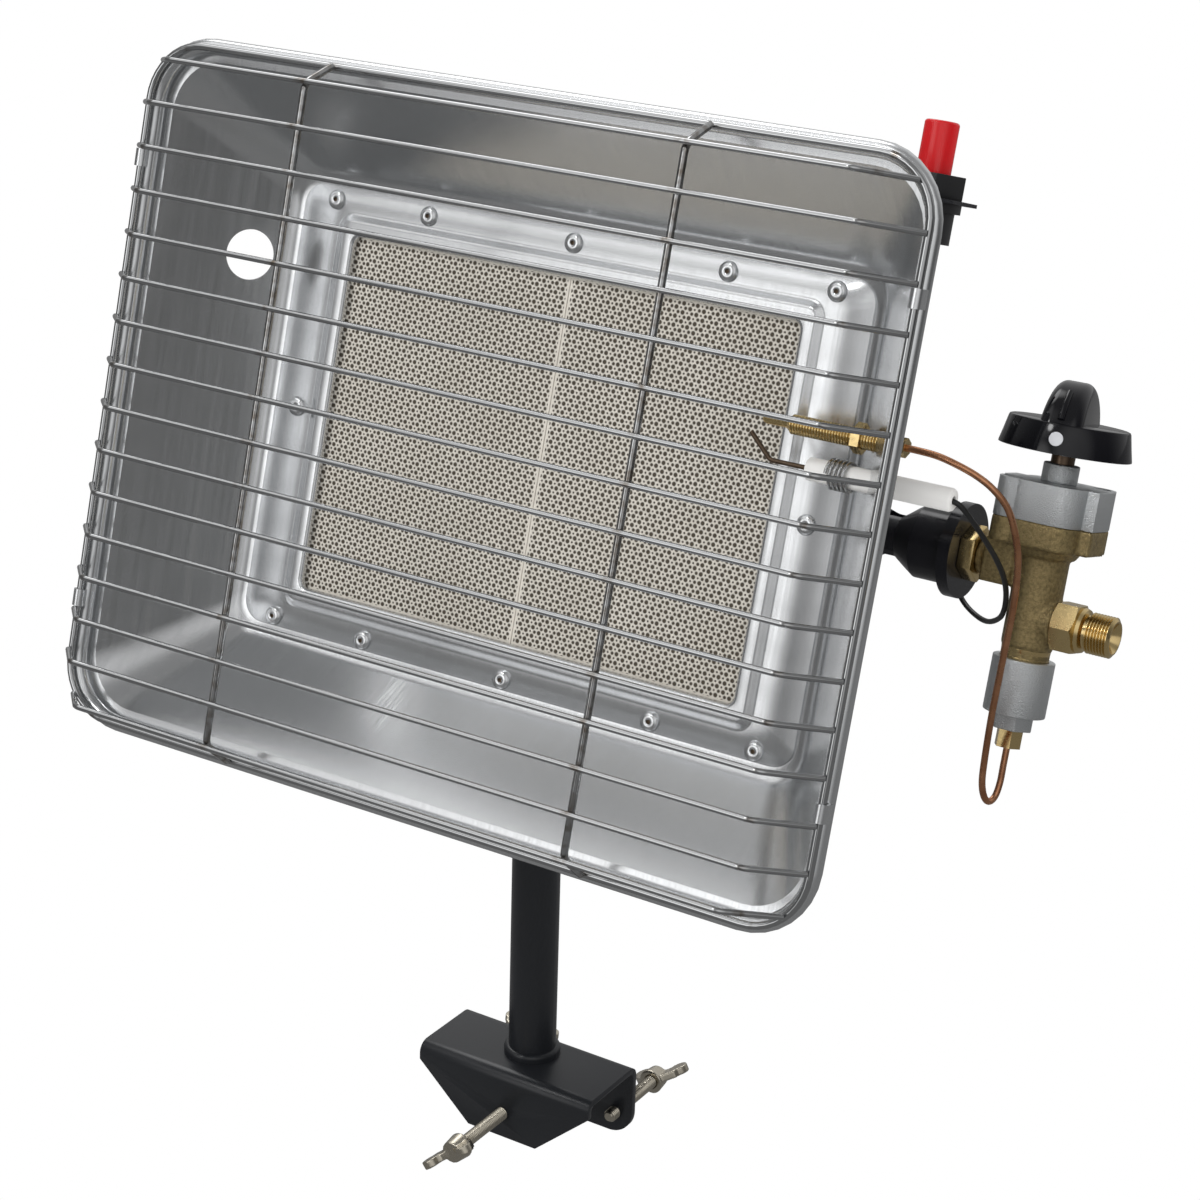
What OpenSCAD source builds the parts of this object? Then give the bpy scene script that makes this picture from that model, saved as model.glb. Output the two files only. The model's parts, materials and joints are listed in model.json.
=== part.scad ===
// Portable propane heater that clamps to the collar of a gas bottle.
// A pressed reflector dish with a ceramic burner sits on a tube and tilts on
// one cross bolt. Gas runs from the side inlet through a thermocouple valve,
// a jet and a mixer into the burner box behind the two ceramic tiles.
// The row frame has +Z up, the front towards -Y, and its origin on the
// tube's axis at the underside of the clamp bracket.
// Head parts are drawn in the head's own frame: x right, y back from the
// rim's plane, z up along the dish. on_head() leans them back.

/* [Support] */
// Height of the tilt bolt above the bottle collar
pivot_z = 147.7; // [100:0.5:220]
// Outer diameter of the support tube
tube_d = 18; // [14:0.5:24]
// Wall of the support tube
tube_wall = 1.5; // [1:0.1:2.5]
// Length of the clamp bracket
clamp_w = 76; // [60:1:100]
// Depth of the clamp bracket over both flanges
clamp_d = 34; // [30:1:50]
// Height of the clamp's front flange below the seat
clamp_front_h = 25; // [20:1:34]
// Height of the clamp's back flange below the seat
clamp_back_h = 28; // [20:1:36]
// Sheet thickness of the clamp bracket
clamp_t = 2.5; // [2:0.25:4]
// Tube axis behind the middle of the clamp bracket
tube_back = 3; // [0:0.5:4]
// Thread diameter of the wing screws
screw_d = 5; // [4:0.5:8]
// Length of the front wing screw's stud
front_len = 36; // [28:0.5:50]
// Length of a back wing screw's stud
back_len = 30.5; // [24:0.5:45]
// Distance of the back wing screws from the middle
screw_x = 30.5; // [20:0.5:31]

/* [Tilt] */
// Lean of the dish back from upright
tilt = 15; // [0:1:30]
// Middle of the dish to the right of the tube
head_x = 7; // [0:0.5:10]
// Tilt bolt behind the rim's plane
pivot_y = 85; // [84:0.5:100]
// Tilt bolt below the middle of the dish
pivot_drop = 88; // [86:0.5:110]
// Diameter of the tilt bolt
bolt_d = 6; // [5:0.5:8]

/* [Reflector] */
// Width over the rolled rim
rim_w = 304; // [290:1:340]
// Height over the rolled rim
rim_h = 245; // [235:1:280]
// Corner radius of the rim
rim_r = 25; // [20:1:30]
// Diameter of the rolled rim
rim_bead = 5.5; // [4:0.25:7]
// Depth from the rim to the floor
dish_d = 46; // [40:1:50]
// Width of the dish floor
floor_w = 235; // [232:1:250]
// Height of the dish floor
floor_h = 167; // [165:1:180]
// Thickness of the aluminium sheet
sheet = 1; // [0.8:0.1:1.5]
// Diameter of the hole in the left wall
side_hole = 18; // [10:1:22]

/* [Burner] */
// Width of one ceramic tile
tile_w = 92; // [88:0.5:94]
// Height of the ceramic tiles
tile_h = 132; // [126:0.5:136]
// Thickness of the ceramic tiles
tile_t = 11; // [10:0.5:11.5]
// Lip of the bezel over the tiles' edges
tile_lip = 2.5; // [1.5:0.25:4]
// Margin of the dish floor round the bezel
bezel_margin = 3.5; // [2:0.5:5]
// Thickness of the bezel
bezel_t = 0.8; // [0.6:0.1:1.2]
// Height of the bezel's raised frame
bezel_rise = 1.6; // [1:0.1:2.2]
// Depth of the burner box behind the floor
box_d = 32; // [30:0.5:40]
// Diameter of the rivets, as a share of the band round the window
rivet_share = 0.242; // [0.18:0.002:0.26]

/* [Guard] */
// Wire diameter of the guard's frame loop
loop_d = 2.6; // [2:0.1:3.5]
// Wire diameter of the bars
bar_d = 2; // [1.6:0.1:3]
// Number of cross bars
bar_n = 16; // [10:1:18]
// Spacing of the cross bars
bar_pitch = 15; // [12:0.5:15.5]
// Stand-off of the bars in front of the loop
guard_out = 15; // [10:0.5:25]
// Distance of the uprights from the middle
upright_x = 72.5; // [50:0.5:100]

/* [Gas train] */
// Diameter of the mixer's narrow pipe
pipe_d = 15.6; // [14:0.2:15.8]
// Diameter of the mixer's air chamber
air_d = 24; // [20:0.5:28]
// Diameter of the mixer's flange
flange_d = 31; // [28:0.5:36]
// Distance of the valve's axis from the middle of the dish
valve_x = 177.3; // [172:0.1:190]
// Outer diameter of the inlet thread, G 1/4
inlet_d = 13.157; // [9:0.001:17]
// Length of the inlet thread
inlet_len = 8.4; // [6:0.2:12]
// Diameter of the valve body
body_d = 16.6; // [15:0.2:18]
// Diameter of the control knob
knob_d = 42; // [36:1:48]
// Height of the control knob's disc
knob_h = 9.5; // [7:0.5:12]
// Travel of the control knob
knob_push = 3; // [2:0.25:3.5]

/* [Igniter] */
// Diameter of the igniter's button
button_d = 11.2; // [8:0.2:13]
// Length of the button above the nut
button_h = 16.5; // [10:0.5:20]
// Diameter of the igniter's body
igniter_d = 18; // [14:0.5:20]
// Diameter of the electrode's ceramic
ceramic_d = 7.4; // [6:0.2:9]
// Length of the electrode's ceramic
ceramic_len = 50; // [40:1:60]
// Wire diameter of the electrode's clip
clip_wire = 1; // [0.8:0.1:1.2]
// Curls of the electrode's clip
clip_turns = 5; // [3:1:8]

/* [Hidden] */
$fn = 48;
eps = 0.01;
gap = 0.3;       // clearance between pieces on different bodies
fit = 0.05;      // radial running fit of a shaft or a stud
snug = 0.05;     // radial clearance of a piece fixed in its hole

// clamp
clamp_front_y = -clamp_d / 2 - tube_back;
clamp_back_y = clamp_d / 2 - tube_back;
clamp_bend_r = clamp_t + 2;
screw_z = -clamp_front_h * 0.6;
back_screw_z = -clamp_back_h * 0.7;
weld_r = 1.7;

// dish walls, inner faces
rim_in_w = rim_w - 2 * rim_bead;
rim_in_h = rim_h - 2 * rim_bead;
floor_r = 12;
floor_y = dish_d;
function wall_x(y) = rim_in_w / 2 - (rim_in_w - floor_w) / 2 * y / dish_d;
function wall_z(y) = rim_in_h / 2 - (rim_in_h - floor_h) / 2 * y / dish_d;

// burner stack, each face behind the rim's plane
tiles_w = 2 * tile_w;
window_w = tiles_w - 2 * tile_lip;
window_h = tile_h - 2 * tile_lip;
tile_seam = gap;
pack_w = 1;                                   // gasket round the tiles
throat_w = tiles_w + 2 * pack_w;
throat_h = tile_h + 2 * pack_w;
throat_r = 3;
bezel_y = floor_y - bezel_t;
tile_y = floor_y + sheet;
tile_back = tile_y + tile_t;
box_y = floor_y + sheet;
box_back = box_y + box_d;
box_step = 4;
box_flange_w = throat_w + 30;
box_flange_h = throat_h + 20;
bezel_w = floor_w - 2 * bezel_margin;
bezel_h = floor_h - 2 * bezel_margin;
bezel_r = 8;
band = (bezel_h - window_h) / 2;              // sheet above and below the window
side_band = (bezel_w - window_w) / 2;         // sheet beside the window
raised_w = window_w + band * 0.84;
raised_h = window_h + band * 0.84;
raised_r = 5;
rivet_d = band * rivet_share;
rivet_head_h = rivet_d * 0.375;
rivet_head_r = rivet_d * 0.88;
rivet_top = window_h / 2 + band * 0.7;
rivet_low = window_h / 2 + band * 0.78;
rivet_side = window_w / 2 + side_band * 0.584;
rivet_xs = [for (k = [-0.877, -0.526, 0, 0.526, 0.877]) bezel_w / 2 * k];
rivet_at = concat([for (x = rivet_xs) [x, rivet_top]], [for (x = rivet_xs) [x, -rivet_low]],
    [[-rivet_side, 0], [rivet_side, 0]]);

// guard
loop_y = -rim_bead / 2 - loop_d / 2;
loop_w = rim_w - 5;
loop_h = rim_h - 7;
loop_r = rim_r - 5;
bar_in_y = loop_y - loop_d / 2 - bar_d / 2;
bar_y = bar_in_y - guard_out;
bar_run = 14.5;
weld = 0.5;               // how far welded wires sink into each other
upright_y = bar_y + bar_d;
upright_half = loop_h / 2 - 7;
tab_w = 6;
tab_t = 0.8;
tab_z = 78.4;

// gas train
gas_y = 66;
gas_z = 1;
flange_x = 151.7;
flange_t = 4;
pipe_in_x = 78;
jet_hex = 16;
locknut_t = 5;
leg_x = flange_x + locknut_t;
flange_top = 16;          // valve body's top face
bonnet_h = 12.5;
bonnet_top = flange_top + bonnet_h;
collar_d = 11.5;
collar_h = 6;
stem_d = 7.5;
knob_z = bonnet_top + collar_h + knob_push + 0.8;
lobe_out = 15;            // bonnet screws from the valve's axis
lobe_w = 14;
body_low = -24;
neck_low = -31;
neck_r = body_d / 2 - 0.5;
cup_d = body_d + 3.4;
cup_low = -46;
mag_hex = 12;
mag_low = -51;
lead_hex = 7.6;
lead_low = -57;
inlet_z = -15.3;
inlet_hex = 15;
inlet_x0 = valve_x + 8.7;
inlet_hex_t = 8;
inlet_neck = 3;
inlet_end = inlet_x0 + inlet_hex_t + inlet_neck + inlet_len;
pointer = 11;             // direction of the knob's pointer from the front

// thermocouple and electrode
probe_y = 21;
probe_z = 32.8;
spark_z = 20.3;
wall_at_probe = wall_x(probe_y);
wall_slope = (rim_in_w - floor_w) / 2 / dish_d;
tip_in = 39;              // how far the probe's tip stands inside the wall
tip_len = 9.7;
sleeve_out = 6.8;
tip_x = wall_at_probe - tip_in;
sleeve_d = 6.4;
sleeve_x0 = tip_x + tip_len;
sleeve_x1 = wall_at_probe + sleeve_out;
probe_hex = 8.6;
probe_nut_t = 3;
probe_nut_off = probe_hex * 0.58 * wall_slope + 0.4;
rear_hex = 5.4;
rear_len = 4.2;
rear_x1 = sleeve_x1 + rear_len;
ceramic_in = 20.7;
ceramic_x0 = wall_at_probe - ceramic_in;
ceramic_x1 = ceramic_x0 + ceramic_len;

// igniter
igniter_x = floor_w / 2 + 2.3;
igniter_y = 57;
shelf_z = 108;
shelf_t = 1.2;
igniter_nut_d = 23;
igniter_nut_h = 7.5;
igniter_top = shelf_z + shelf_t + igniter_nut_h;
igniter_low = 95;
button_push = 6;

// A route whose first and last m points move with what its ends a and b go into
function carried(p, a, b, m) = let (n = len(p) - 1) [for (i = [0 : n]) p[i]
    + (a - p[0]) * max(0, 1 - i / m) + (b - p[n]) * max(0, 1 - (n - i) / m)];
held_in = 1.6;            // how far a lead's end goes into its piece

// routes of the two leads, chosen by hand in the head's frame
lead_d = 2.2;
lead_route = [[145, 21, 32.8], [150, 21, 32.8], [156, 21.3, 32.4], [162, 22, 31], [168, 23.5, 28.8],
    [173, 25, 25.8], [177, 28, 21], [179.7, 31, 14], [181, 35, 5], [180.4, 40, -9], [178, 46, -28],
    [176, 51, -46], [174.8, 55.5, -62], [174.9, 57, -69], [175.6, 59.2, -73.4], [176.4, 62, -75],
    [177, 64.8, -73.4], [177.3, 66, -69], [177.3, 66, -63], [177.3, 66, -57]];
cable_d = 1.8;
cable_route = [
    [161, 21, 20.3], [164.5, 22, 19], [167.5, 26, 15], [169.8, 33, 9.5], [171, 41, 4.1],
    [172, 48, -1.7], [171.5, 54.5, -7.4], [170.2, 59.2, -13.1], [166.9, 65, -17.4],
    [160.4, 72.5, -20.4], [153.7, 78, -20.1], [146.6, 82.5, -17.2], [139, 85.5, -10],
    [131, 86, -4], [122, 85.5, -1], [113, 84, 4], [105, 82, 13], [102, 80, 30], [102, 75, 55],
    [107, 66, 74], [115.5, 58.5, 85], [119.7, 57, 91], [119.8, 57, 98]];
lead_path = carried(lead_route, [rear_x1 - held_in, probe_y, probe_z], [valve_x, gas_y, lead_low], 6);
cable_path = carried(cable_route, [ceramic_x1 - held_in, probe_y, spark_z],
    [igniter_x, igniter_y, igniter_low + 3], 6);

// ---- helpers ----

// The head's frame, leaned back about the tilt bolt
module on_head() {
    translate([head_x, 0, pivot_z]) rotate([-tilt, 0, 0])
        translate([0, -pivot_y, pivot_drop]) children();
}

// Rectangle with round corners, true arcs
module round_rect(w, h, r) {
    square([w - 2 * r, h], center = true);
    square([w, h - 2 * r], center = true);
    for (sx = [-1, 1], sy = [-1, 1]) translate([sx * (w / 2 - r), sy * (h / 2 - r)]) circle(r);
}

// A flat drawing in x and z, thick from y0 backwards
module slab(y0, t) {
    translate([0, y0 + t, 0]) rotate([90, 0, 0]) linear_extrude(t) children();
}

// A round bar from x0 to x1 along x
module bar_x(x0, x1, d) {
    translate([x0, 0, 0]) rotate([0, 90, 0]) cylinder(h = x1 - x0, d = d);
}

// A turned piece along x, its profile given as [radius, x]
module turned_x(profile) {
    rotate([0, 90, 0]) rotate_extrude() polygon(profile);
}

// A hexagon bar along x, flats across af
module hex_x(x0, x1, af) {
    translate([x0, 0, 0]) rotate([0, 90, 0]) cylinder(h = x1 - x0, d = af / cos(30), $fn = 6);
}

// A rod of diameter d bent round a rectangle of centre line w by h
module loop_rod(w, h, r, d) {
    for (s = [-1, 1]) {
        translate([-(w / 2 - r), 0, s * h / 2]) rotate([0, 90, 0]) cylinder(h = w - 2 * r, d = d);
        translate([s * w / 2, 0, -(h / 2 - r)]) cylinder(h = h - 2 * r, d = d);
    }
    for (q = [[1, 1, 0], [-1, 1, 90], [-1, -1, 180], [1, -1, 270]])
        translate([q[0] * (w / 2 - r), 0, q[1] * (h / 2 - r)]) rotate([90, 0, 0])
            rotate_extrude(angle = 90, start = q[2]) translate([r, 0]) circle(d = d);
}

function unit(v) = v / norm(v);
// One point of a smooth curve through four neighbours
function curve(a, b, c, d, s) = 0.5 * (2 * b + (c - a) * s + (2 * a - 5 * b + 4 * c - d) * s * s
    + (3 * b - a - 3 * c + d) * s * s * s);
function smooth_path(p, steps) = let (n = len(p)) concat([for (i = [0 : n - 2], k = [0 : steps - 1])
    curve(p[max(i - 1, 0)], p[i], p[i + 1], p[min(i + 2, n - 1)], k / steps)], [p[n - 1]]);
function tangents(p) = let (n = len(p)) [for (i = [0 : n - 1])
    unit(p[min(i + 1, n - 1)] - p[max(i - 1, 0)])];
// Side vectors that turn as little as possible along the path
function sides(t, ref) = [for (i = 0, u = unit(ref - (ref * t[0]) * t[0]); i < len(t);
    i = i + 1, u = i < len(t) ? unit(u - (u * t[i]) * t[i]) : u) u];

// A round lead swept along its own points, in one piece
module lead(p, d, n, ref) {
    t = tangents(p);
    u = sides(t, ref);
    m = len(p);
    pts = [for (i = [0 : m - 1], k = [0 : n - 1]) let (v = cross(t[i], u[i]), a = 360 * k / n)
        p[i] + d / 2 * (cos(a) * u[i] + sin(a) * v)];
    sides_f = [for (i = [0 : m - 2], k = [0 : n - 1], h = [0, 1])
        let (a = i * n + k, b = i * n + (k + 1) % n) h == 0 ? [a, b, b + n] : [a, b + n, a + n]];
    caps = concat([for (k = [1 : n - 2]) [0, k + 1, k]],
        [for (k = [1 : n - 2]) [(m - 1) * n, (m - 1) * n + k, (m - 1) * n + k + 1]]);
    polyhedron(points = pts, faces = [for (f = concat(sides_f, caps)) [f[2], f[1], f[0]]]);
}

// ---- support ----

module clamp_bracket() {
    w = clamp_w;
    mid_y = (clamp_front_y + clamp_back_y) / 2;
    deep = max(clamp_front_h, clamp_back_h);
    color([0.16, 0.17, 0.18]) difference() {
        translate([-w / 2, mid_y, 0]) rotate([90, 0, 90]) linear_extrude(w) difference() {
            translate([0, clamp_t - deep]) round_rect(clamp_d, 2 * deep, clamp_bend_r);
            translate([0, -deep]) round_rect(clamp_d - 2 * clamp_t, 2 * deep, clamp_bend_r - clamp_t);
            translate([-clamp_d, -3 * deep]) square([2 * clamp_d, 2 * deep]);
        }
        // front flange, narrow at its lower edge
        translate([0, mid_y, 0]) rotate([90, 0, 0]) linear_extrude(clamp_d) difference() {
            translate([-w, -2 * deep]) square([2 * w, 2 * deep - clamp_t]);
            polygon([[-w / 2, 0], [-w / 2, -clamp_t - 2], [-w * 0.2, -clamp_front_h],
                [w * 0.2, -clamp_front_h], [w / 2, -clamp_t - 2], [w / 2, 0]]);
        }
        // back flange, round lower corners
        translate([0, mid_y + clamp_d, 0]) rotate([90, 0, 0]) linear_extrude(clamp_d) difference() {
            translate([-w, -2 * deep]) square([2 * w, 2 * deep - clamp_t]);
            round_rect(w, 2 * clamp_back_h, 10);
        }
        for (s = screw_places) translate([s[0], s[1], s[2]]) rotate([90, 0, 0])
            cylinder(h = clamp_t * 4, r = screw_d / 2 + fit, center = true);
    }
}
// Place of each wing screw's hole and the way its wings point
screw_places = [[0, clamp_front_y + clamp_t / 2, screw_z, -1],
    [-screw_x, clamp_back_y - clamp_t / 2, back_screw_z, 1],
    [screw_x, clamp_back_y - clamp_t / 2, back_screw_z, 1]];

module support_tube() {
    r = tube_d / 2;
    top = pivot_z + r;
    color([0.14, 0.15, 0.16]) difference() {
        union() {
            translate([0, 0, clamp_t]) cylinder(h = top - clamp_t, r = r);
            translate([0, 0, clamp_t + weld_r]) rotate_extrude() {
                translate([r, 0]) circle(r = weld_r);
                translate([r - 0.5, -weld_r]) square([weld_r + 0.5, weld_r]);
            }
        }
        translate([0, 0, clamp_t - 1]) cylinder(h = top, r = r - tube_wall);
        translate([0, 0, pivot_z]) rotate([0, 90, 0])
            cylinder(h = 2 * tube_d, r = bolt_d / 2 + fit, center = true);
    }
}

hub_r = screw_d / 2 + 2.4;
hub_h = 6.5;
wing_t = 3;
wing_span = 9.6;

// A threaded stud, its tip at the origin and its head end towards +y
module stud(len) {
    rotate([-90, 0, 0]) cylinder(h = len + hub_h - 1.5, d = screw_d);
}

// The cast wing head that the stud's end turns in
module wing_head(turn, len) {
    rotate([0, turn, 0]) difference() {
        union() {
            translate([0, len, 0]) rotate([-90, 0, 0]) cylinder(h = hub_h, r1 = hub_r, r2 = hub_r - 0.8);
            for (s = [-1, 1]) translate([0, len + 1, -wing_t / 2]) linear_extrude(wing_t) union() {
                polygon([[0, 0], [s * hub_r, 0], [s * wing_span, 3], [s * (wing_span + 2), 8.5],
                    [s * (wing_span - 1.5), 11], [s * hub_r, 6.5], [0, hub_h - 1.5]]);
                translate([s * (wing_span - 0.5), 7.8]) circle(r = 3.2);
            }
        }
        translate([0, len - 1, 0]) rotate([-90, 0, 0]) cylinder(h = hub_h, r = screw_d / 2 + fit);
    }
}

// Puts a piece at screw place i, its tip the given depth inside the flange's outer face
module at_screw(i, depth) {
    s = screw_places[i];
    face = s[1] + s[3] * clamp_t / 2;
    color([0.72, 0.68, 0.6]) translate([s[0], face - s[3] * depth, s[2]])
        rotate([0, 0, s[3] > 0 ? 0 : 180]) children();
}
front_in = 10;            // how far the tips stand inside the outer faces at rest
back_in = 7;
module front_stud() { at_screw(0, front_in) stud(front_len); }
module front_wing() { at_screw(0, front_in) wing_head(37, front_len); }
module left_stud() { at_screw(1, back_in) stud(back_len); }
module left_wing() { at_screw(1, back_in) wing_head(5, back_len); }
module right_stud() { at_screw(2, back_in) stud(back_len); }
module right_wing() { at_screw(2, back_in) wing_head(-28, back_len); }

// ---- tilt joint ----

ear_in = tube_d / 2 + gap;
ear_t = clamp_t;
ear_r = 9.5;
plate_w = 54;
plate_h = 44;
bracket_low = -throat_h / 2 + box_step;

// Runs from the left ear to past the right one
module tilt_bolt() {
    color([0.7, 0.69, 0.66]) on_head() translate([-head_x, pivot_y, -pivot_drop]) {
        hex_x(-ear_in - ear_t - 4, -ear_in - ear_t, bolt_d * 1.67);
        bar_x(-ear_in - ear_t - 1, ear_in + ear_t + 12, bolt_d);
    }
}

module tilt_wing_nut() {
    hub = bolt_d / 2 + 3;
    hub_h = 7;
    color([0.72, 0.68, 0.6]) on_head() translate([-head_x + ear_in + ear_t + 0.1, pivot_y, -pivot_drop])
        difference() {
            union() {
                bar_x(0, hub_h, 2 * hub);
                rotate([20, 0, 0]) for (s = [-1, 1]) translate([0, 0, 0]) rotate([90, 0, 90])
                    translate([0, 0, 1]) linear_extrude(3) {
                        polygon([[0, -hub / 2], [s * 13, -3.5], [s * 13, 3.5], [0, hub / 2]]);
                        translate([s * 13, 0]) circle(r = 3.5);
                    }
            }
            bar_x(-1, hub_h + 1, bolt_d + 2 * fit);
        }
}

module rear_bracket() {
    y0 = box_back;
    t = ear_t;
    low = bracket_low;
    top = low + plate_h;
    color([0.16, 0.17, 0.18]) on_head() translate([-head_x, 0, 0]) {
        difference() {
            union() {
                slab(y0, t) translate([0, low + 2 + plate_h / 2]) round_rect(plate_w, plate_h, 5);
                for (s = [-1, 1]) translate([s * (ear_in + t / 2) - t / 2, 0, 0]) rotate([90, 0, 90])
                    linear_extrude(t) {
                        polygon([[y0 + eps, top], [y0 + 8, top], [pivot_y + ear_r, -pivot_drop + 18],
                            [pivot_y + ear_r, -pivot_drop], [pivot_y - ear_r, -pivot_drop],
                            [y0 + eps, low - sheet - 1.5]]);
                        translate([pivot_y, -pivot_drop]) circle(r = ear_r);
                    }
            }
            translate([0, pivot_y, -pivot_drop]) bar_x(-40, 40, bolt_d + 2 * snug);
            for (p = bracket_screw_at) translate([p[0], y0 - 1, p[1]]) rotate([-90, 0, 0])
                cylinder(h = t + 2, d = 5 + 2 * snug);
        }
    }
}
bracket_screw_at = [for (sx = [-1, 1], dz = [8, plate_h - 4]) [sx * (plate_w / 2 - 7), bracket_low + dz]];

module bracket_screws() {
    color([0.7, 0.69, 0.66]) on_head() translate([-head_x, 0, 0]) for (p = bracket_screw_at)
        translate([p[0], 0, p[1]]) rotate([-90, 0, 0]) {
            translate([0, 0, box_back - 5]) cylinder(h = 5 + ear_t + 1, d = 5);
            translate([0, 0, box_back + ear_t]) cylinder(h = 3.5, d = 8 / cos(30), $fn = 6);
        }
}

// ---- reflector and guard ----

module dish_solid(grow, y0, y1) {
    hull() {
        slab(y0, eps) round_rect(2 * wall_x(y0) + 2 * grow, 2 * wall_z(y0) + 2 * grow,
            rim_r - rim_bead + grow, $fn = 48);
        slab(y1 - eps, eps) round_rect(2 * wall_x(y1) + 2 * grow, 2 * wall_z(y1) + 2 * grow,
            floor_r + grow, $fn = 48);
    }
}

module reflector() {
    wall_hole_y = 33.3;
    wall_hole_z = 50.6;
    lean = atan((rim_in_w - floor_w) / 2 / dish_d);
    color([0.78, 0.79, 0.8]) on_head() difference() {
        union() {
            difference() {
                dish_solid(sheet, 0, floor_y);
                dish_solid(0, -eps, floor_y + eps);
            }
            slab(floor_y, sheet) round_rect(floor_w + 2 * sheet, floor_h + 2 * sheet, floor_r + sheet);
            loop_rod(rim_w - rim_bead, rim_h - rim_bead, rim_r - rim_bead / 2, rim_bead);
        }
        slab(floor_y - 1, sheet + 2) round_rect(throat_w, throat_h, throat_r);
        translate([-wall_x(wall_hole_y), wall_hole_y, wall_hole_z]) rotate([0, 90, -lean])
            cylinder(h = 12, d = side_hole, center = true);
        translate([wall_at_probe, probe_y, probe_z]) bar_x(-8, 8, sleeve_d + 1);
        translate([wall_at_probe, probe_y, spark_z]) bar_x(-8, 8, ceramic_d + 1);
        for (p = rivet_at) translate([p[0], 0, p[1]]) rotate([-90, 0, 0])
            cylinder(h = dish_d * 2, r = rivet_d / 2 + snug);
    }
}

// Four strips folded from the rim over the guard's loop
module guard_tabs() {
    hook_r = loop_d / 2 + tab_t + 0.1;
    color([0.75, 0.76, 0.78]) on_head() for (s = [-1, 1], sz = [-1, 1])
        translate([s * loop_w / 2, loop_y, sz * tab_z - tab_w / 2]) difference() {
            union() {
                cylinder(h = tab_w, r = hook_r);
                translate([s > 0 ? 0 : -hook_r, 0, 0]) cube([hook_r, rim_bead / 2 + loop_d / 2, tab_w]);
            }
            translate([0, 0, -1]) cylinder(h = tab_w + 2, r = loop_d / 2 + 0.1);
            translate([s > 0 ? -1 : -(hook_r - tab_t), 0, -1]) cube([hook_r - tab_t + 1, 9, tab_w + 2]);
            translate([-s * (rim_w - rim_bead - loop_w) / -2, -loop_y, -1])
                cylinder(h = tab_w + 2, r = rim_bead / 2 + 0.02);
        }
}

// A bar with both ends bent back to the loop, drawn along x, with a small swelling at each bend
module bent_bar(half, run, back, d) {
    a = atan(back / run);
    rotate([0, 90, 0]) cylinder(h = 2 * half, d = d, center = true);
    for (s = [0, 1]) mirror([s, 0, 0]) translate([half, 0, 0]) {
        sphere(d = d * 1.15);
        rotate([0, 0, a]) rotate([0, 90, 0]) cylinder(h = norm([run, back]), d = d);
    }
}

module wire_guard() {
    color([0.85, 0.86, 0.88]) on_head() {
        translate([0, loop_y, 0]) loop_rod(loop_w, loop_h, loop_r, loop_d);
        for (i = [0 : bar_n - 1]) {
            z = (i - (bar_n - 1) / 2) * bar_pitch;
            translate([0, bar_y, z]) bent_bar(loop_edge(z) - bar_run, bar_run, guard_out + weld, bar_d);
        }
        for (s = [-1, 1]) translate([s * upright_x, upright_y - weld, 0]) rotate([0, -90, 0])
            bent_bar(upright_half, loop_h / 2 - upright_half, guard_out - bar_d + 2 * weld, bar_d);
    }
}
// Half width of the loop at a height
function loop_edge(z) = let (c = loop_h / 2 - loop_r, dz = max(abs(z) - c, 0))
    loop_w / 2 - loop_r + sqrt(max(loop_r * loop_r - dz * dz, 1));

// ---- burner ----

module burner_bezel() {
    color([0.8, 0.81, 0.82]) on_head() difference() {
        union() {
            slab(bezel_y, bezel_t) round_rect(bezel_w, bezel_h, bezel_r);
            slab(bezel_y - bezel_rise, bezel_rise + bezel_t) round_rect(raised_w, raised_h, raised_r);
        }
        slab(bezel_y - 5, 9) round_rect(window_w, window_h, 3);
        slab(bezel_y - bezel_rise + bezel_t, bezel_rise + bezel_t)
            round_rect(raised_w - 2 * bezel_t, raised_h - 2 * bezel_t, raised_r - bezel_t);
        for (p = rivet_at) translate([p[0], 0, p[1]]) rotate([-90, 0, 0])
            cylinder(h = dish_d * 2, r = rivet_d / 2 + snug);
    }
}

// Sheet of the igniter's bracket under the corner rivet, none under the others
function under(p) = p[0] > rivet_xs[3] + 1 && p[1] > 0 ? shelf_t : 0;

module bezel_rivets() {
    r = rivet_d / 2;
    back = box_y + sheet;
    color([0.8, 0.81, 0.82]) on_head() for (p = rivet_at) translate([p[0], bezel_y, p[1]])
        rotate([-90, 0, 0]) rotate_extrude() difference() {
            union() {
                translate([0, -0.4]) square([rivet_head_r, 0.4]);
                intersection() {
                    translate([0, 2.2]) circle(r = r + 2.2);
                    translate([0, -rivet_head_h]) square([rivet_head_r, rivet_head_h]);
                }
                square([r, back - bezel_y]);
                translate([0, back - bezel_y + under(p)]) square([r + 0.8, 2]);
                square([r, back - bezel_y + shelf_t]);
            }
            translate([0, -3]) square([0.7, 2.4]);
            translate([-20, -10]) square([20, 40]);
        }
}

module tile_gasket() {
    lip_back = bezel_y - bezel_rise + bezel_t;
    color([0.85, 0.84, 0.8]) on_head() difference() {
        union() {
            slab(lip_back, tile_y - lip_back) round_rect(throat_w - 0.1, throat_h - 0.1, throat_r);
            slab(tile_y, tile_t) round_rect(throat_w - 0.1, throat_h - 0.1, throat_r);
        }
        slab(lip_back - 1, tile_y - lip_back + 1) square([window_w + 0.4, window_h + 0.4], center = true);
        slab(tile_y, tile_t + 1) square([tiles_w + 0.1, tile_h + 0.1], center = true);
    }
}

module tile(side) {
    color([0.78, 0.74, 0.68]) on_head() slab(tile_y, tile_t)
        translate([side * tile_w / 2, 0]) square([tile_w - tile_seam, tile_h], center = true);
}
module left_tile() { tile(-1); }
module right_tile() { tile(1); }

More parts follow.
